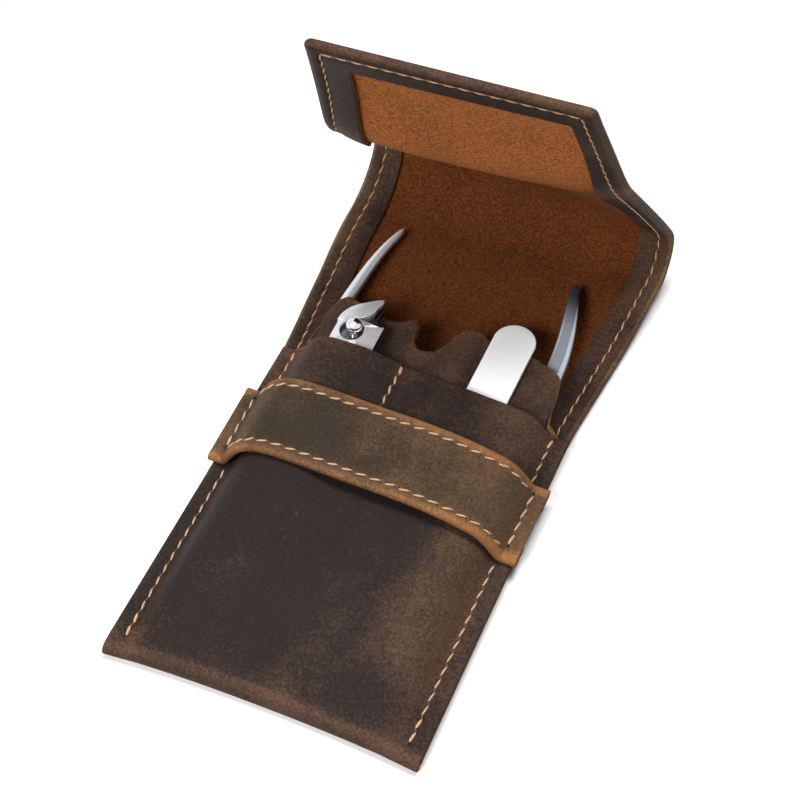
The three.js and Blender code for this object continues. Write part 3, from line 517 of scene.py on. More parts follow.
def side_line(side, v, soft):
    """(y, z) of the hide's middle on one side: v 0 at the mouth, 1 fold start, 2 roll end, 3 bend, 4 end."""
    data = SIDES[side]
    y0, z0 = data["start"]
    if v <= 1:
        y = mix(POUCH_L, y0, v)
        return y, 0.6 + (z0 - 0.6) * smooth((y - y0 + data["rise"]) / data["rise"])
    r = data["radius"]
    angle = math.radians(data["flap"])
    if v <= 2:
        turn = angle * (v - 1)
        return y0 + r * math.sin(turn), z0 + r - r * math.cos(turn)
    roll_end = (y0 + r * math.sin(angle), z0 + r - r * math.cos(angle))
    bend = data["bend"]
    lean = math.radians(data["tongue"])
    end = (bend[0] + data["tongue_l"] * math.cos(lean), bend[1] + data["tongue_l"] * math.sin(lean))

    def straight(t):
        if t <= 3:
            return tuple(mix(a, b, t - 2) for a, b in zip(roll_end, bend))
        return tuple(mix(a, b, t - 3) for a, b in zip(bend, end))
    if abs(v - 3) >= soft:
        return straight(v)
    before, after = straight(3 - soft), straight(3 + soft)
    t = (v - 3 + soft) / (2 * soft)
    return tuple((1 - t) ** 2 * a + 2 * t * (1 - t) * b + t * t * c for a, b, c in zip(before, bend, after))


def hide_edge(side, v):
    return from_table(SIDES[side]["edge"], v, 0.25)


def hide_middle(x, v):
    """A place on the hide's middle surface past the mouth, in the part's frame, in mm."""
    left, right = hide_edge(-1, v), hide_edge(1, v)
    share = (x - left) / (right - left)
    sag = from_table(SAG, share, 0.04)
    soft = BEND_SOFT + 0.026 * sag
    yl, zl = side_line(-1, v, soft)
    yr, zr = side_line(1, v, soft)
    sag *= math.exp(-((v - 3) / (0.42 if v < 3 else 0.36)) ** 2)
    return Vector((x, mix(yl, yr, share) - HALF_L - 0.62 * sag, mix(zl, zr, share) - 0.78 * sag))


def hide_point(x, v, lift):
    """The same, lifted square to the hide towards its inner side."""
    d = 0.01
    along = hide_middle(x, min(v + d, 4)) - hide_middle(x, max(v - d, 0))
    across = hide_middle(x + 0.5, v) - hide_middle(x - 0.5, v)
    return hide_middle(x, v) + across.cross(along).normalized() * lift


# The back hide, the roll and half the flap

TURN_STEPS = [0, 30, 60, 90, 120, 150, 180]
BORDER_STEPS = [BORDER_W, 9.2, 8.2, 6.8, 5.4, 4.6, 4.0, 3.4, 2.8, 2.0, 1.5]
# The border's width is uneven: share of the part inside its seam, along the hide
INNER_WIDTH = {-1: [(0, 1.0), (1, 1.0), (1.6, 0.8), (2.6, 0.8), (2.86, 1.5), (3.15, 1.38), (4, 1.3)],
               1: [(0, 1.0), (2.8, 0.96), (3.2, 0.62), (4, 0.62)], 0: [(0, 1.24), (4, 1.24)]}


def border_in(a, side, v):
    """Distance in from the edge for a place across the border."""
    seam = SEAM_IN + 0.6
    return a if a < seam else seam + (a - seam) * from_table(INNER_WIDTH[side], v, 0.1)


def border_puff(a):
    """The turned border stands up round its edge and is drawn in by the seam."""
    return 0.34 * math.exp(-((a - 2.1) / 1.0) ** 2) - 0.3 * math.exp(-((a - SEAM_IN) / 0.7) ** 2)


def turned_edge(angle, turn):
    """(distance in, height) at an angle in degrees on the round of an edge that is turned in."""
    radius = turn / 2
    angle = math.radians(angle)
    return HIDE_T / 2 + radius - radius * math.sin(angle), radius + radius * math.cos(angle)


def section(main):
    """Columns across the hide, both its edges turned in: (side, kind, its distance in, angle or share)."""
    turned = [("border", a) for a in BORDER_STEPS] + [("arc", angle) for angle in TURN_STEPS]
    columns = [(1,) + c for c in turned]
    columns += [(0, "main", i / main) for i in range(1, main)]
    return columns + [(-1,) + c for c in reversed(turned)]


def section_place(column, left, right, turn, v=0.0):
    """(x, height) of a column for the hide's edges left and right."""
    side, kind, value = column
    reach = (HIDE_T + turn) / 2
    if kind == "main":
        return mix(right - reach, left + reach, value), 0.0
    edge = right if side > 0 else left
    if kind == "border":
        puff = border_puff(value) * min(1, max(0, turn - 0.5) / 0.7)
        return edge - side * border_in(value, side, v), turn + puff
    inwards, height = turned_edge(value, turn)
    return edge - side * inwards, height


COLUMNS = section(44)
MID_FLAP = 2.55                 # where the back hide's piece ends and the flap's begins
CUT_STEP = 0.004                # a last short row there, so that both ends are shaded alike
# Rows of the back hide: lengths in the pouch, then the places past the mouth
pouch_rows = [3.0, 4.5, 8] + [16 + i * 8 for i in range(11)]
free_rows = [i / 16 for i in range(17)] + [1 + i / 20 for i in range(1, 21)]
free_rows += [2 + i * (MID_FLAP - 2) / 8 for i in range(1, 8)] + [MID_FLAP - CUT_STEP, MID_FLAP]
back_rows = [("pouch", y) for y in pouch_rows] + [("free", v) for v in free_rows]


def back_edge_turn(kind, value):
    """The border is turned in past the mouth; under the front it fades into the seam."""
    if kind == "pouch":
        return 0.5
    return mix(0.5, TURN, smooth(value / 0.05))


def back_place(i, j):
    kind, value = back_rows[j]
    if kind == "pouch":
        half = pouch_half(value)
        x, lift = section_place(COLUMNS[i], -half, half, back_edge_turn(kind, value))
        return mm(x, value - HALF_L, BACK_Z + lift)
    left, right = hide_edge(-1, value), hide_edge(1, value)
    x, lift = section_place(COLUMNS[i], left, right, back_edge_turn(kind, value), value)
    return hide_point(x, value, lift) * MM


def back_rub(i, j):
    side, kind, value = COLUMNS[i]
    row_kind, place = back_rows[j]
    edge = 0.55 if kind == "arc" else 0.0
    if kind == "border":
        edge = 0.25 * math.exp(-value / 1.5)
    roll = 0.35 * math.exp(-((place - 1.5) / 0.5) ** 2) if row_kind == "free" else 0
    return edge + roll


back_bm = sheet_mesh(len(COLUMNS), len(back_rows), back_place, back_rub)
hide_back = finish_mesh("hide_back", back_bm, [hide_border, inner_suede, raw_edge], None,
                        ("back_panel", "fold_roll", "free_border_left", "free_border_right",
                         "roll_border_left", "roll_border_right"))
thicken(hide_back, HIDE_T)

# The rest of the flap and the tongue, as rings from the border's inner edge round to the middle

TONGUE_ALONG = 49.85            # mean length of the tongue from its bend to its end
TONGUE_CORNER = 2.4
LAST_RING = 37.4                # depth from the tongue's end where the rings close on the middle line
FLAP_ROWS, END_STEPS, CORNER_STEPS = 30, 30, 6
ROUND_IN = 1.3                  # nearer to the edge than this, the turned edge is round


def v_from_depth(depth):
    """Place along the hide at a depth in from the tongue's end."""
    return 4 - depth / TONGUE_ALONG


def ring_stations(into, border):
    """Stations round a ring: (distance in from the edge, place along the hide, share across it)."""
    radius = max(TONGUE_CORNER - into, 0)
    centre = max(TONGUE_CORNER, into)
    depth = min(border_in(centre, 0, 4) if border else centre, LAST_RING)
    levels = [MID_FLAP, MID_FLAP + CUT_STEP]
    levels += [mix(MID_FLAP, v_from_depth(depth), k / FLAP_ROWS) for k in range(1, FLAP_ROWS + 1)]
    side = [(into, v) for v in levels]
    for k in range(1, CORNER_STEPS):
        angle = k / CORNER_STEPS * math.pi / 2
        side.append((centre - radius * math.cos(angle), v_from_depth(depth - radius * math.sin(angle))))
    end = [(centre, v_from_depth(depth - radius), k / END_STEPS) for k in range(END_STEPS + 1)]
    return [place + (0,) for place in side] + end + [place + (1,) for place in reversed(side)]


def tongue_ring(into, lift):
    """One ring round the tongue, at a distance in from its edge and a height over it: (v, point)."""
    border = lift > TURN / 2 and into >= ROUND_IN
    ring = []
    for distance, v, share in ring_stations(into, border):
        left, right = hide_edge(-1, v), hide_edge(1, v)
        middle = (left + right) / 2
        left += border_in(distance, -1, v) if border else distance
        right -= border_in(distance, 1, v) if border else distance
        x = mix(min(left, middle), max(right, middle), share)
        ring.append((v, hide_point(x, v, lift)))
    return ring


ring_list = [(a, TURN + border_puff(a)) for a in BORDER_STEPS]
ring_list += [turned_edge(angle, TURN) for angle in TURN_STEPS]
ring_list += [(a, 0.0) for a in (2.0, 3.2, 4.6, 6.4, 8.6, 11, 13.5, 16.5, 20, 24, 28.5, 33, 60)]
rings = [tongue_ring(into, lift) for into, lift in ring_list]


def tongue_place(i, j):
    return rings[i][j][1] * MM


def tongue_rub(i, j):
    into, v = ring_list[i][0], rings[i][j][0]
    edge = 0.42 if into < ROUND_IN else 0.2 * math.exp(-into / 1.5)
    return edge + 0.42 * math.exp(-((v - 2.97) / 0.16) ** 2)


def tongue_painted_shade(i, j):
    """Painted shade: the suede is darkened in the hollow of the flap, which lies in shade, and left light on
    the tongue.
    """
    return smooth((rings[i][j][0] - 2.74) / 0.32)


flap_bm = sheet_mesh(len(ring_list), len(rings[0]), tongue_place, tongue_rub, tongue_painted_shade)
# The innermost ring closes on itself along the middle of the flap
bmesh.ops.remove_doubles(flap_bm, verts=flap_bm.verts[:], dist=0.001 * MM)
bmesh.ops.reverse_faces(flap_bm, faces=flap_bm.faces[:])
hide_flap = finish_mesh("hide_flap", flap_bm, [hide_border, inner_suede, raw_edge], None,
                        ("flap_panel", "flap_border_left", "flap_border_right", "tongue_panel",
                         "tongue_border"))
thicken(hide_flap, HIDE_T)

# Front panel with the bottom fold

front_columns = sorted(set([mix(-1, 1, k / 48) for k in range(49)]
                           + [side * share for side in (-1, 1) for share in (0.86, 0.93, 0.975, 0.99)]))
FOLD_STEPS = 8
FOLD_Y = 2.6                    # where the bottom fold goes over into the front
FOLD_REACH = 1.9
BOTTOM_BOW, BOW_FADE = 2.2, 24  # how far the fold bows in, and the length over which that fades
front_lengths = [FOLD_Y, 3.6, 5, 7] + [10 + 4 * i for i in range(24)] + [103.2, POUCH_L]


def bottom_in(x):
    """The bottom fold bows in between its corners."""
    return BOTTOM_BOW * (1 - min(abs(x) / BOTTOM_HALF, 1) ** 2.2)


def front_place(i, j):
    share = front_columns[i]
    if j <= FOLD_STEPS:
        turn = math.pi * j / FOLD_STEPS
        x = share * pouch_half(0)
        radius = (front_z(x, FOLD_Y) - BACK_Z) / 2
        y = FOLD_Y - FOLD_REACH * math.sin(turn)
        return mm(x, y + bottom_in(x) * math.sin(turn / 2 + 0.4) - HALF_L,
                  BACK_Z + radius - radius * math.cos(turn))
    y = front_lengths[j - FOLD_STEPS]
    x = share * pouch_half(y)
    pull = bottom_in(x) * max(0, 1 - (y - FOLD_Y) / BOW_FADE)
    # The sewn margins round down at their outer edge
    out = max(0, (abs(share) - 0.975) / 0.025)
    return mm(x, y + pull - HALF_L, front_z(x, y) - 0.35 * out ** 2)


def front_rub_and_painted_highlight(i, j):
    share = abs(front_columns[i])
    y = 0 if j <= FOLD_STEPS else front_lengths[j - FOLD_STEPS]
    bottom = 0.42 * math.exp(-y / 4)
    side = 0.45 * math.exp(-(1 - share) / 0.03) + 0.3 * math.exp(-((share - 0.84) / 0.06) ** 2)
    # Painted highlight: a lighter patch on the right of the front stands in for the sheen that lies there
    right = 0.34 * math.exp(-((front_columns[i] - 0.66) / 0.2) ** 2) * smooth((y - 8) / 20)
    top = 0.22 * math.exp(-(POUCH_L - y) / 5)
    left = 0.2 * smooth((-front_columns[i] - 0.35) / 0.3) * smooth((y - 80) / 10)
    return bottom + side * (0.6 + 0.4 * noise(y * 0.3, share * 5, 1)) + top + right + left


front_bm = sheet_mesh(len(front_columns), FOLD_STEPS + len(front_lengths), front_place, front_rub_and_painted_highlight)
hide_front = finish_mesh("hide_front", front_bm, [hide_outside, pocket_suede, raw_edge], "pouch",
                         ("front_panel",))
thicken(hide_front, HIDE_T, bevel=0.3)

# Divider with its finger notch

DIVIDER_STEPS = 30
DIVIDER_FROM = 60               # how deep it reaches into the pouch, as a length from the bottom fold
divider_shares = sorted(set([round(mix(-1, 1, k / 60), 4) for k in range(61)]
                            + [s for s, _ in DIVIDER_TOP]))


def divider_place(i, j):
    share = divider_shares[i]
    top = POUCH_L * from_table(DIVIDER_TOP, share, 0.012)
    top += 0.35 * noise(share * 30, 0, 5) * smooth((top - 105) / 8)
    y = mix(DIVIDER_FROM, top, j / DIVIDER_STEPS)
    x = share * (pouch_half(y) - SEAM_MARGIN)
    if abs(share) == 1:
        x = math.copysign(pouch_half(y) - 0.9, share)
    return mm(x, y - HALF_L, divider_z(x, y))


def divider_rub(i, j):
    near = (DIVIDER_STEPS - j) / DIVIDER_STEPS
    share = divider_shares[i]
    return 0.5 * math.exp(-near / 0.05) + 0.25 * math.exp(-((share - 0.15) / 0.12) ** 2) + 0.1


divider_bm = sheet_mesh(len(divider_shares), DIVIDER_STEPS + 1, divider_place, divider_rub)
divider = finish_mesh("divider", divider_bm, [divider_hide, pocket_suede, raw_edge], "pouch",
                      ("divider_panel",))
thicken(divider, DIVIDER_T, bevel=0.25)

# Torn fibres show at the left edge of the finger notch
FIBRE_STEPS = 24


def fibre_place(i, j):
    t = j / FIBRE_STEPS
    share = from_table([(0, -0.232), (0.4, -0.214), (0.75, -0.18), (1, -0.12)], t, 0.05)
    x = share * (pouch_half(POUCH_L) - SEAM_MARGIN)
    y = POUCH_L * from_table([(0, 1.155), (0.4, 1.105), (0.75, 1.083), (1, 1.078)], t, 0.05)
    angle = math.pi * i / 6
    ragged = 0.5 + 0.35 * noise(t * 14, i * 0.8, 7)
    across = 0.55 * math.cos(angle) * ragged * 2
    return mm(x + across, y - HALF_L, divider_z(x, y) - 0.2 + 0.75 * math.sin(angle) * ragged)


fibre_bm = sheet_mesh(7, FIBRE_STEPS + 1, fibre_place)
bmesh.ops.holes_fill(fibre_bm, edges=[e for e in fibre_bm.edges if e.is_boundary], sides=0)
bmesh.ops.recalc_face_normals(fibre_bm, faces=fibre_bm.faces[:])
finish_mesh("notch_fibres", fibre_bm, [torn_suede], "pouch", ())

# Strap with rolled edges

STRAP_MID = (STRAP_FROM + STRAP_TO) / 2
STRAP_HALF = pouch_half(STRAP_MID) + 1.6
STRAP_INSIDE = pouch_half(STRAP_MID) - SEAM_MARGIN + 0.9
STRAP_LOW, STRAP_H = 4.2, FRONT_H * 1.035       # its underside over the ground at its ends, and its rise


def strap_low(x):
    """Underside of the strap over the ground."""
    return STRAP_LOW + STRAP_H * from_table(STRAP_ARCH, x / STRAP_INSIDE, 0.02)


def strap_point(x, y, lift):
    d = 0.25
    normal = Vector((strap_low(x - d) - strap_low(x + d), 0, 2 * d)).normalized()
    return Vector((x, y - HALF_L, strap_low(x))) + normal * lift


STRAP_TURN = 1.25               # from the middle of its lining to the middle of its top
STRAP_SEAM_IN = 2.9             # from its long edges to the seams there
STRAP_END_IN = 3.6              # from its ends to the seams there
strap_xs = [s * STRAP_INSIDE for s, _ in STRAP_ARCH[1:-1]]
strap_xs = sorted(set([-STRAP_HALF, -STRAP_HALF + 0.5, STRAP_HALF - 0.5, STRAP_HALF] + strap_xs
                      + [(a + b) / 2 for a, b in zip(strap_xs, strap_xs[1:])]))
# Across half the strap, from the lining round its edge to the top: (kind, distance in or angle)
strap_across = [("under", 6.0), ("under", 3.0), ("under", 1.6)]
strap_across += [("arc", angle) for angle in TURN_STEPS]
strap_across += [("top", a) for a in (1.6, 2.2, 2.7, 3.1, 3.6, 4.4, 6, 9, 12.5)]


def strap_profile(k):
    """(distance in from the strap's edge, height) of a place across half the strap."""
    kind, value = strap_across[k]
    r = STRAP_TURN / 2
    if kind == "under":
        return value, STRAP_T / 2
    if kind == "arc":
        angle = math.radians(value)
        return STRAP_T / 2 + r - r * math.sin(angle), STRAP_T / 2 + r - r * math.cos(angle)
    groove = 0.28 * math.exp(-((value - STRAP_SEAM_IN) / 0.45) ** 2)
    crown = 0.12 * math.exp(-((value - 1.5) / 0.8) ** 2)
    return value, STRAP_T / 2 + STRAP_TURN - groove + crown


half_count = len(strap_across)


def strap_bow(x):
    """The strap's long edges wave a little."""
    return 0.35 * noise(x * 0.12, 0, 2)


def strap_place(i, j):
    x = strap_xs[i]
    if j < half_count:
        a, lift = strap_profile(j)
        y = STRAP_FROM + a
    else:
        a, lift = strap_profile(2 * half_count - 2 - j)
        y = STRAP_TO - a
    return strap_point(x, y + strap_bow(x), lift) * MM


def strap_rub_and_painted_highlight(i, j):
    a = strap_profile(j if j < half_count else 2 * half_count - 2 - j)[0]
    edge = 0.95 * math.exp(-(max(a, 0) / 2.6) ** 2)
    ends = 0.35 * math.exp(-(STRAP_HALF - abs(strap_xs[i])) / 2.5)
    # Lighter towards the right end; where the strap turns down near its left end, a painted highlight on the
    # ridge
    side = 0.34 * smooth((strap_xs[i] - 2) / 26) + 0.3 * math.exp(-((strap_xs[i] + 33) / 2.2) ** 2)
    return edge + ends + side


strap_bm = sheet_mesh(len(strap_xs), 2 * half_count - 1, strap_place, strap_rub_and_painted_highlight)
strap = finish_mesh("strap", strap_bm, [strap_hide, strap_hide, raw_edge], "pouch",
                    ("strap_band", "strap_lining"))
thicken(strap, STRAP_T, inner=0, bevel=0.3)

# Stitches: half lengths as shares of a step, half thicknesses, and the half axes of a needle's hole, a flat
# dark disc of painted shade

STITCH_SHARE, DIVE_SHARE = 0.41, 0.17
STITCH_HALF_T, DIVE_HALF_T = 0.3, 0.22
HOLE_LONG, HOLE_WIDE = 0.55, 0.42
SEAM_START = 5.2                # where the side seams begin, from the bottom fold
SEAM_GAP = 0.6                  # from a seam's end to the edge beside it


def seam_rail(points):
    """For (place, normal) points in mm: a function that gives both at a length, and the whole length."""
    lengths = [0.0]
    for (a, _), (b, _) in zip(points, points[1:]):
        lengths.append(lengths[-1] + (b - a).length)
    last = len(points) - 2

    def at(length):
        k = next((k for k in range(last) if length <= lengths[k + 1]), last)
        t = (length - lengths[k]) / max(lengths[k + 1] - lengths[k], 1e-9)
        return (points[k][0].lerp(points[k + 1][0], t),
                points[k][1].lerp(points[k + 1][1], t).normalized())
    return at, lengths[-1]


def set_material(found, index):
    for face in set(f for vert in found["verts"] for f in vert.link_faces):
        face.material_index = index


def add_row(bm, points, pitch=PITCH, width=0.6, tilt=10.0, double=()):
    """A row of stitches, each a little aslant, with the thread's dive between two of them, darker as painted
    shade, and the needle's holes as flat dark discs of painted shade; double: the stitches that were sewn
    over twice."""
    at, length = seam_rail(points)
    count = max(1, round(length / pitch))
    step = length / count

    def seat(s, behind, ahead, lift, turn=0.0):
        """The axes of a stitch at s: X from behind to ahead, turned by some degrees, and Z off the hide."""
        place, up = at(s)
        along = (at(min(ahead, length))[0] - at(max(behind, 0))[0]).normalized()
        basis = Matrix((along, up.cross(along).normalized(), up)).transposed().to_4x4()
        return (Matrix.Translation((place + up * lift) * MM) @ basis
                @ Matrix.Rotation(math.radians(turn), 4, "Z") @ Matrix.Scale(MM, 4))

    for k in range(count):
        wobble = tilt * (1 + 0.25 * noise(k * 2.3, length))
        thick = width * (1.35 if k in double else 1.0)
        where = seat((k + 0.5) * step, (k + 0.2) * step, (k + 0.8) * step, 0.08, wobble)
        bmesh.ops.create_uvsphere(bm, u_segments=8, v_segments=6, radius=1,
                                  matrix=where @ Matrix.Diagonal((step * STITCH_SHARE, thick / 2,
                                                                  STITCH_HALF_T, 1)))
    # The thread's dives, given the darker thread of painted shade
    for k in range(1, count):
        where = seat(k * step, k * step, k * step + 0.3, 0.05, -2.6 * tilt)
        dive = bmesh.ops.create_uvsphere(bm, u_segments=8, v_segments=4, radius=1,
                                         matrix=where @ Matrix.Diagonal((step * DIVE_SHARE, width * 0.4,
                                                                         DIVE_HALF_T, 1)))
        set_material(dive, 2)
    # Needle holes: flat dark discs just over the hide, painted shade of the holes
    for k in range(count + 1):
        s = min(k * step, length)
        where = seat(s, s - 0.4, s + 0.4, 0.03)
        hole = bmesh.ops.create_circle(bm, cap_ends=True, segments=8, radius=1,
                                       matrix=where @ Matrix.Diagonal((HOLE_LONG, HOLE_WIDE, 1, 1)))
        set_material(hole, 1)


def seam_piece(name, rows, nodes, body="pouch", thread=pouch_thread, dive=pouch_thread_painted_shade):
    bm = bmesh.new()
    for stitches in rows:
        add_row(bm, **stitches)
    return finish_mesh(name, bm, [thread, needle_hole_painted_shade, dive], body, nodes)


def front_line(x_of, y0, y1, steps=24):
    points = []
    for k in range(steps + 1):
        y = mix(y0, y1, k / steps)
        x = x_of(y)
        d = 0.4
        normal = Vector((front_z(x - d, y) - front_z(x + d, y), front_z(x, y - d) - front_z(x, y + d),
                         2 * d)).normalized()
        points.append((Vector((x, y - HALF_L, front_z(x, y))) + normal * (HIDE_T / 2), normal))
    return points


def side_x(side):
    return lambda y: side * (pouch_half(y) - SEAM_IN)


def strap_seam_point(x, y, lift):
    """(place, normal) of a seam on the strap."""
    low, high = strap_point(x, y, 0), strap_point(x, y, 1)
    return strap_point(x, y, lift), (high - low).normalized()


for side, name in SIDE_NAMES:
    lower = front_line(side_x(side), SEAM_START, STRAP_FROM - SEAM_GAP)
    upper = front_line(side_x(side), STRAP_TO + SEAM_GAP, POUCH_L - 0.8, 8)
    seam_piece("side_stitches_" + name, [dict(points=lower, tilt=-9 * side, double=(0, 1)),
                                         dict(points=upper, tilt=-9 * side, double=(3, 4))],
               ("side_seam_" + name, "mouth_seam_" + name))
    end_x = side * (STRAP_HALF - STRAP_END_IN)
    end_points = [strap_seam_point(end_x, mix(STRAP_FROM + 4.2, STRAP_TO - 3.4, k / 6), STRAP_T + STRAP_TURN)
                  for k in range(7)]
    seam_piece("strap_end_stitches_" + name, [dict(points=end_points, tilt=-9 * side, double=(0,))],
               ("strap_end_seam_" + name,))

for y, name in ((STRAP_FROM + STRAP_SEAM_IN, "lower"), (STRAP_TO - STRAP_SEAM_IN, "upper")):
    points = []
    for k in range(81):
        x = mix(-STRAP_INSIDE + SEAM_GAP, STRAP_INSIDE - SEAM_GAP, k / 80)
        points.append(strap_seam_point(x, y + strap_bow(x), 0.86 + STRAP_TURN))
    seam_piece("strap_stitches_" + name, [dict(points=points, pitch=3.88, tilt=15)], ("strap_seam_" + name,))

POCKET_X = -6.0                 # the pocket's seam, which leans a little
pocket_line = front_line(lambda y: POCKET_X + 0.012 * (y - 87), 86, POUCH_L - 0.4, 8)
seam_piece("pocket_stitches", [dict(points=pocket_line, pitch=3.6, width=0.7, tilt=14, double=(4,))],
           ("pocket_seam",))


def seam_point(x, v, lift, flip):
    """(place, normal) of a seam on the hide; flip is -1 on its outside."""
    return hide_point(x, v, lift), (hide_point(x, v, flip) - hide_point(x, v, 0)).normalized()


def hide_line(side, v0, v1, steps, lift, flip):
    points = []
    for k in range(steps + 1):
        v = mix(v0, v1, k / steps)
        points.append(seam_point(hide_edge(side, v) - side * SEAM_IN, v, lift, flip))
    return points


# Height of the thread over the hide's middle and the way it faces, on the inside and the outside
HIDE_FACES = ((TURN + HIDE_T / 2 - 0.26, 1), (-HIDE_T / 2 + 0.3, -1))
FLAP_THREAD_W = 0.52
for side, name in SIDE_NAMES:
    rows = [dict(points=hide_line(side, 0.03, MID_FLAP, 90, lift, flip), tilt=9 * side, width=FLAP_THREAD_W)
            for lift, flip in HIDE_FACES]
    piece = seam_piece("fold_stitches_" + name, rows, ("free_seam_" + name, "roll_seam_" + name), None,
                       flap_thread, flap_thread_painted_shade)
    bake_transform(piece)

tongue_rows = []
end_v = v_from_depth(SEAM_IN)
for lift, flip in HIDE_FACES:
    left = hide_line(-1, MID_FLAP, end_v, 50, lift, flip)
    right = hide_line(1, end_v, MID_FLAP, 50, lift, flip)
    across = []
    for k in range(1, 30):
        x = mix(hide_edge(-1, end_v) + SEAM_IN, hide_edge(1, end_v) - SEAM_IN, k / 30)
        across.append(seam_point(x, end_v, lift, flip))
    for points, tilt in ((left, -9), ([left[-1]] + across + [right[0]], -5), (right, 9)):
        tongue_rows.append(dict(points=points, tilt=tilt, width=FLAP_THREAD_W))
tongue_stitches = seam_piece("tongue_stitches", tongue_rows,
                             ("flap_seam_left", "flap_seam_right", "tongue_seam"), None, flap_thread,
                             flap_thread_painted_shade)

# Tools

def raise_plate(bm, faces, height, soft):
    """Gives flat faces a height in mm and softens the rims."""
    shell = set(vert for face in faces for vert in face.verts)
    grown = bmesh.ops.extrude_face_region(bm, geom=faces)["geom"]
    top = [g for g in grown if isinstance(g, bmesh.types.BMVert)]
    bmesh.ops.translate(bm, verts=top, vec=(0, 0, height * MM))
    shell |= set(top)
    rims = [e for e in bm.edges if e.verts[0] in shell and e.verts[1] in shell
            and abs(e.verts[0].co.z - e.verts[1].co.z) < 0.01 * MM
            and len(e.link_faces) == 2 and e.calc_face_angle(0) > 1]
    bmesh.ops.bevel(bm, geom=rims, offset=soft * MM, segments=3, profile=0.5, affect="EDGES", material=-1)


def add_plate(bm, outline, low, high, soft):
    """A flat plate from an outline in mm between two heights, with softened rims."""
    face = bm.faces.new([bm.verts.new(mm(x, y, low)) for x, y in outline])
    raise_plate(bm, [face], high - low, soft)


def add_holed_plate(bm, outline, hole, low, high, soft):
    """The same with a hole; outline and hole have as many points each."""
    loops = []
    for points in (outline, hole):
        made = bmesh.ops.create_circle(bm, cap_ends=False, segments=len(points), radius=1)["verts"]
        for vert, (x, y) in zip(made, points):
            vert.co = mm(x, y, low)
        loops += [e for e in bm.edges if e.verts[0] in made and e.verts[1] in made]
    raise_plate(bm, bmesh.ops.bridge_loops(bm, edges=loops)["faces"], high - low, soft)


def add_tube(bm, rings):
    """A closed bar through rings of points in mm."""
    around = len(rings[0])
    part = sheet_mesh(around + 1, len(rings), lambda i, j: rings[j][i % around] * MM)
    bmesh.ops.remove_doubles(part, verts=part.verts[:], dist=0.001 * MM)
    bmesh.ops.holes_fill(part, edges=[e for e in part.edges if e.is_boundary], sides=0)
    mesh = bpy.data.meshes.new("bar")
    part.to_mesh(mesh)
    part.free()
    bm.from_mesh(mesh)
    bpy.data.meshes.remove(mesh)


def metal_piece(name, bm, material, body, node, angle=32):
    """A metal piece whose edges are sharp where two faces meet at more than an angle in degrees."""
    bmesh.ops.recalc_face_normals(bm, faces=bm.faces[:])
    piece = finish_mesh(name, bm, [material], body, (node,))
    for edge in piece.data.edges:
        edge.use_edge_sharp = False
    piece.data.set_sharp_from_angle(angle=math.radians(angle))


def round_points(x, y, radius_x, radius_y, angles):
    """Points round an ellipse, or a part of it."""
    return [(x + radius_x * math.cos(a), y + radius_y * math.sin(a)) for a in angles]


def plate_piece(name, outline, heights, soft, material, body, node):
    bm = bmesh.new()
    add_plate(bm, outline, *heights, soft)
    metal_piece(name, bm, material, body, node)


# Nail file: flat, round at both ends
file_low, file_high = (Vector(corner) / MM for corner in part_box("nail_file"))
FILE_X = (file_low.x + file_high.x) / 2
FILE_R = (file_high.x - file_low.x) / 2
outline = round_points(FILE_X, file_high.y - FILE_R, FILE_R, FILE_R, [math.pi * k / 24 for k in range(25)])
outline += [(2 * FILE_X - x, file_low.y + file_high.y - y) for x, y in outline]
plate_piece("file_blade", outline, (file_low.z, file_high.z), 0.3, satin_steel, "file", "nail_file")

# Nail clipper: two arms with a leaning beak, the raised rim of the upper blade, and the lever on them.
# Heights are (low, high); shapes are shares of an arm, or mm from the middle of the ball.
CLIP_X, CLIP_HALF, CLIP_REAR, CLIP_L, POST_Y = -22.4, 7.0, -9.0, 80.0, 57.6
LOWER_ARM, UPPER_ARM = (8.35, 9.75), (10.85, 12.25)
BEAK_RIM, LEVER = (12.0, 13.7), (12.55, 13.75)
BALL_R, BALL_Z = 2.2, 15.1
POST_R, POST_H, POST_Z = 1.15, 6.4, 11.6
ARM_OUTLINE = [(0.55, 0), (0.8, 0.03), (1, 0.12), (1, 0.87), (0.86, 0.895), (0.42, 0.935), (0.5, 1),
               (0.1, 0.985), (-0.35, 0.95), (-0.62, 0.905), (-0.7, 0.865), (-0.72, 0.8), (-1, 0.5),
               (-1, 0.12), (-0.8, 0.03), (-0.55, 0)]
RIM_OUTLINE = [(-5.65, 1.6), (-5.5, 3.0), (-5.2, 4.3), (-4.6, 5.7), (-3.9, 6.9), (-2.5, 8.4), (-0.9, 9.6),
               (0.5, 10.7), (1.9, 11.7), (2.9, 12.2), (3.5, 12.3), (3.65, 11.1), (3.2, 9.9), (2.8, 8.6),
               (2.65, 7.3), (1.9, 6.1), (1.0, 4.95), (-0.4, 3.9), (-2.2, 3.6), (-3.6, 2.7), (-4.4, 1.5)]
LEVER_OUTLINE = [(-5.3, 1.9), (-5.25, -4), (-5.0, -20), (-4.2, -42), (-2.8, -53.5), (2.8, -53.5),
                 (4.4, -42), (6.2, -20), (6.9, -4), (6.75, 4.0), (4.7, 3.6), (2.9, 3.6), (0, 3.9),
                 (-2.2, 3.9), (-4.2, 3.3)]
HOLE_R, HOLE_AT = (3.2, 3.5), (-0.5, -0.4)

arm = [(CLIP_X + x * CLIP_HALF, CLIP_REAR + y * CLIP_L) for x, y in ARM_OUTLINE]
plate_piece("clipper_lower_blade", arm, LOWER_ARM, 0.3, steel_painted_dark_reflection, "clipper", "clipper_lower_arm")
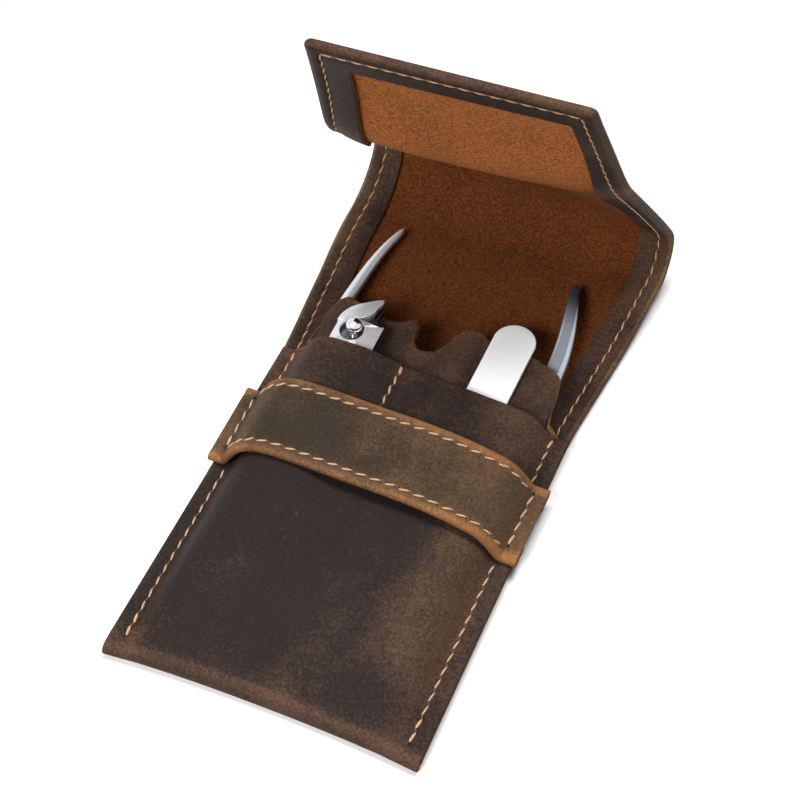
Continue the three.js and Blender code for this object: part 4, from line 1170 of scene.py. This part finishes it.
# The upper blade's edge stands back a little from the lower one's
upper = [(x - 0.25 if y > 55 and x > CLIP_X else x, y - 1.2 if y > 55 else y) for x, y in arm]
plate_piece("clipper_upper_blade", upper, UPPER_ARM, 0.3, steel_painted_dark_reflection, "clipper_top", "clipper_upper_arm")
rim = [(CLIP_X + x, POST_Y + y) for x, y in reversed(RIM_OUTLINE)]
plate_piece("clipper_beak_rim", rim, BEAK_RIM, 0.22, brushed_steel, "clipper_top", "clipper_upper_arm")


def hit(angle, shape):
    """Where a ray from the ball's middle leaves an outline."""
    direction = Vector((math.cos(angle), math.sin(angle)))
    for a, b in zip(shape, shape[1:] + shape[:1]):
        a, b = Vector(a), Vector(b)
        side = b - a
        cross = direction.x * side.y - direction.y * side.x
        if abs(cross) < 1e-9:
            continue
        far = (a.x * side.y - a.y * side.x) / cross
        share = (a.x * direction.y - a.y * direction.x) / cross
        if far > 0 and -1e-4 <= share <= 1 + 1e-4:
            return direction * far


angles = [math.atan2(y, x) for x, y in LEVER_OUTLINE]
angles = sorted(angles + [math.pi * (k + 0.5) / 18 - math.pi for k in range(36)])
angles = [a for k, a in enumerate(angles) if k == 0 or a - angles[k - 1] > 0.01]
outer = [hit(a, LEVER_OUTLINE) for a in angles]
hole = round_points(CLIP_X + HOLE_AT[0], POST_Y + HOLE_AT[1], *HOLE_R, angles)
bm = bmesh.new()
add_holed_plate(bm, [(CLIP_X + p.x, POST_Y + p.y) for p in outer], hole, *LEVER, 0.3)
# The lever's right flank and its left edge fall away from its flat top
for vert in bm.verts:
    if vert.co.z > 13.2 * MM:
        x, y = vert.co.x / MM - CLIP_X, vert.co.y / MM - POST_Y
        ridge = 3.9 - 0.09 * y
        vert.co.z -= (0.8 * smooth((x - ridge) / 2.8) + 0.35 * smooth((-x - 4.0) / 1.2)) * MM
metal_piece("clipper_lever_plate", bm, brushed_steel, "clipper_top", "clipper_lever", angle=20)

bm = bmesh.new()
bmesh.ops.create_uvsphere(bm, u_segments=28, v_segments=18, radius=BALL_R * MM,
                          matrix=Matrix.Translation(mm(CLIP_X, POST_Y, BALL_Z)))
bmesh.ops.create_cone(bm, cap_ends=True, segments=24, radius1=POST_R * MM, radius2=POST_R * MM,
                      depth=POST_H * MM, matrix=Matrix.Translation(mm(CLIP_X, POST_Y, POST_Z)))
metal_piece("clipper_ball_post", bm, polished_steel, "clipper", "clipper_post")

# Nippers: a lapped joint, a jaw and a long curved handle that tapers to a soft point on each side.
# Handle rows: share of its length, share of its way out, share of its width and of its thickness.
NIPPER_X, NIPPER_Y = -1.0, 6.0
HANDLE_L, HANDLE_OUT, HANDLE_HALF, HANDLE_HALF_T = 95.0, 30.6, 3.0, 2.0
LEFT_HALF = 1.9                 # half width of the left handle's slimmer end
HANDLE_Z, MOUTH_Z = 3.7, 4.55   # middle of the handles in the pouch and at its mouth
TIP_RISE, RISE_FROM, RISE_OVER = 2.4, 125.9, 21.1       # their rise, over lengths from the bottom fold
JOINT_R, JAW_Z = 7, (1.7, 7.7)
LAP_Z = {-1: (1.7, 4.55), 1: (4.85, 7.7)}
JAW = [(0.9, -3.3), (7.2, -3.3), (8.2, -9.9), (7.5, -15.4), (4.9, -19.8), (0.9, -22.0)]
BAR_RINGS, BAR_POINTS = 60, 20
HANDLE = [(0.08, 0.13, 1, 1), (0.15, 0.34, 1, 1), (0.23, 0.57, 1, 1), (0.32, 0.75, 1, 1), (0.4, 0.84, 1, 1),
          (0.49, 0.9, 1, 1), (0.57, 0.96, 0.95, 1), (0.66, 1, 0.9, 1), (0.74, 0.99, 0.84, 0.95),
          (0.82, 0.96, 0.74, 0.8), (0.9, 0.91, 0.6, 0.66), (0.96, 0.86, 0.48, 0.58), (0.985, 0.84, 0.4, 0.5),
          (0.995, 0.833, 0.26, 0.36), (1, 0.83, 0.08, 0.12)]


def handle_station(side, k):
    """Middle, half width and half thickness of a handle at one of its rings."""
    t = mix(HANDLE[0][0], 1, k / BAR_RINGS)
    out, wide, thick = (from_table([(row[0], row[n]) for row in HANDLE], t, 0.03 if n == 1 else 0.012)
                        for n in (1, 2, 3))
    if k == BAR_RINGS:
        wide, thick = 0.04, 0.06
    y = NIPPER_Y + t * HANDLE_L
    length = y + HALF_L
    # It rises a little near the mouth, then over the hide's turned-in border
    z = mix(HANDLE_Z, MOUTH_Z, smooth((length - 86) / 10))
    z += TIP_RISE * smooth((length - RISE_FROM) / RISE_OVER)
    half = HANDLE_HALF if side > 0 else mix(HANDLE_HALF, LEFT_HALF, smooth((t - 0.4) / 0.25))
    return Vector((NIPPER_X + side * out * HANDLE_OUT, y, z)), wide * half, thick * HANDLE_HALF_T


def handle_rings(side):
    """Rings of points round a handle, between round and square."""
    stations = [handle_station(side, k) for k in range(BAR_RINGS + 1)]
    rings = []
    for k, (centre, half_w, half_t) in enumerate(stations):
        along = (stations[min(k + 1, BAR_RINGS)][0] - stations[max(k - 1, 0)][0]).normalized()
        across = along.cross(Vector((0, 0, 1))).normalized()
        rise = across.cross(along)
        ring = []
        for m in range(BAR_POINTS):
            angle = 2 * math.pi * (m + 0.5) / BAR_POINTS
            c, s = math.cos(angle), math.sin(angle)
            ring.append(centre + across * (half_w * math.copysign(abs(c) ** 0.75, c))
                        + rise * (half_t * math.copysign(abs(s) ** 0.75, s)))
        rings.append(ring)
    return rings


for side, name in SIDE_NAMES:
    bm = bmesh.new()
    add_tube(bm, handle_rings(side))
    joint = round_points(NIPPER_X, NIPPER_Y, JOINT_R, JOINT_R, [math.pi * k / 20 for k in range(40)])
    add_plate(bm, joint, *LAP_Z[side], 0.4)
    jaw = [(NIPPER_X - side * x, NIPPER_Y + y) for x, y in JAW]
    add_plate(bm, jaw if side < 0 else list(reversed(jaw)), *JAW_Z, 0.5)
    metal_piece("nipper_" + name, bm, handle_steel if side < 0 else handle_steel_painted_reflection, "nipper_" + name,
                "nipper_half_" + name, angle=40)

for node in ("clipper_rivet", "nipper_screw", "nipper_spring_left", "nipper_spring_right"):
    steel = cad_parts[node]
    steel.data.materials.clear()
    steel.data.materials.append(polished_steel)

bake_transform(hide_back)
for piece in (hide_flap, tongue_stitches):
    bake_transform(piece)

# Floor, light and camera

def seen_rays(tree):
    """1 for the rays that a viewer sees by, camera, glossy and transmission; 0 for light that bounces."""
    light_path = add(tree, "ShaderNodeLightPath").outputs
    seen = math_node(tree, "MAXIMUM", light_path["Is Camera Ray"], light_path["Is Glossy Ray"])
    return math_node(tree, "MAXIMUM", seen, light_path["Is Transmission Ray"])


bpy.ops.mesh.primitive_plane_add(size=6, location=(0, 0, -0.0002))
floor = bpy.context.object
floor.name = "floor"
floor_material = bpy.data.materials.new("pale_floor")
floor_material.use_nodes = True
tree = floor_material.node_tree
floor_shader = tree.nodes["Principled BSDF"]
seen = seen_rays(tree)
# Darker for the light that it throws back on the pouch than for the rays that show it
tone = mix_colour(tree, seen, (0.35, 0.35, 0.35, 1), (0.82, 0.82, 0.82, 1))
tree.links.new(tone, floor_shader.inputs["Base Color"])
put(floor_shader, Roughness=0.9, Specular_IOR_Level=0.1)
# Far from the pouch the floor runs out into the white backdrop, between these distances in m
FADE_FROM, FADE_TO = 0.11, 0.2
far = add(tree, "ShaderNodeVectorMath", operation="DISTANCE")
far.inputs[1].default_value = (0, 0.035, 0)
tree.links.new(add(tree, "ShaderNodeTexCoord").outputs["Object"], far.inputs[0])
glow = put(add(tree, "ShaderNodeEmission"), Color=WHITE, Strength=1.0)
fade = add(tree, "ShaderNodeMixShader")
tree.links.new(times(tree, ramp(tree, far.outputs["Value"], FADE_FROM, FADE_TO), seen), fade.inputs[0])
tree.links.new(floor_shader.outputs[0], fade.inputs[1])
tree.links.new(glow.outputs[0], fade.inputs[2])
tree.links.new(fade.outputs[0], tree.nodes["Material Output"].inputs["Surface"])
floor.data.materials.append(floor_material)

world = bpy.data.worlds.new("studio")
bpy.context.scene.world = world
world.use_nodes = True
tree = world.node_tree
background = tree.nodes["Background"]
put(background, Color=WHITE)
AMBIENT = 0.15                  # the backdrop's strength as light; it is shown at 1
tree.links.new(plus(tree, times(tree, seen_rays(tree), 1 - AMBIENT), AMBIENT), background.inputs["Strength"])


def lamp(name, place, aim, size, power):
    data = bpy.data.lights.new(name, "AREA")
    data.shape = "RECTANGLE"
    data.size, data.size_y = size
    data.energy = power
    light = bpy.data.objects.new(name, data)
    bpy.context.scene.collection.objects.link(light)
    light.location = place
    light.rotation_euler = (Vector(aim) - Vector(place)).to_track_quat("-Z", "Y").to_euler()


lamp("overhead_softbox", (0.05, 0.2, 0.95), (0, 0.02, 0.02), (0.55, 0.4), 12.0)
lamp("front_softbox", (-0.3, -0.76, 0.76), (0, 0.05, 0.05), (0.5, 0.4), 14.0)

camera_data = bpy.data.cameras.new("camera")
camera_data.sensor_width = 36
camera_data.lens = 108
camera_data.clip_start = 0.01
camera = bpy.data.objects.new("camera", camera_data)
bpy.context.scene.collection.objects.link(camera)
CAMERA_DOWN, CAMERA_ROUND = 52.404, 23.2257     # degrees below level and round from -Y
camera.location = (0.14770, -0.30808, 0.50639)
camera.rotation_euler = (math.radians(90 - CAMERA_DOWN), 0, math.radians(CAMERA_ROUND))
bpy.context.scene.camera = camera
bpy.context.scene.view_settings.view_transform = "Standard"
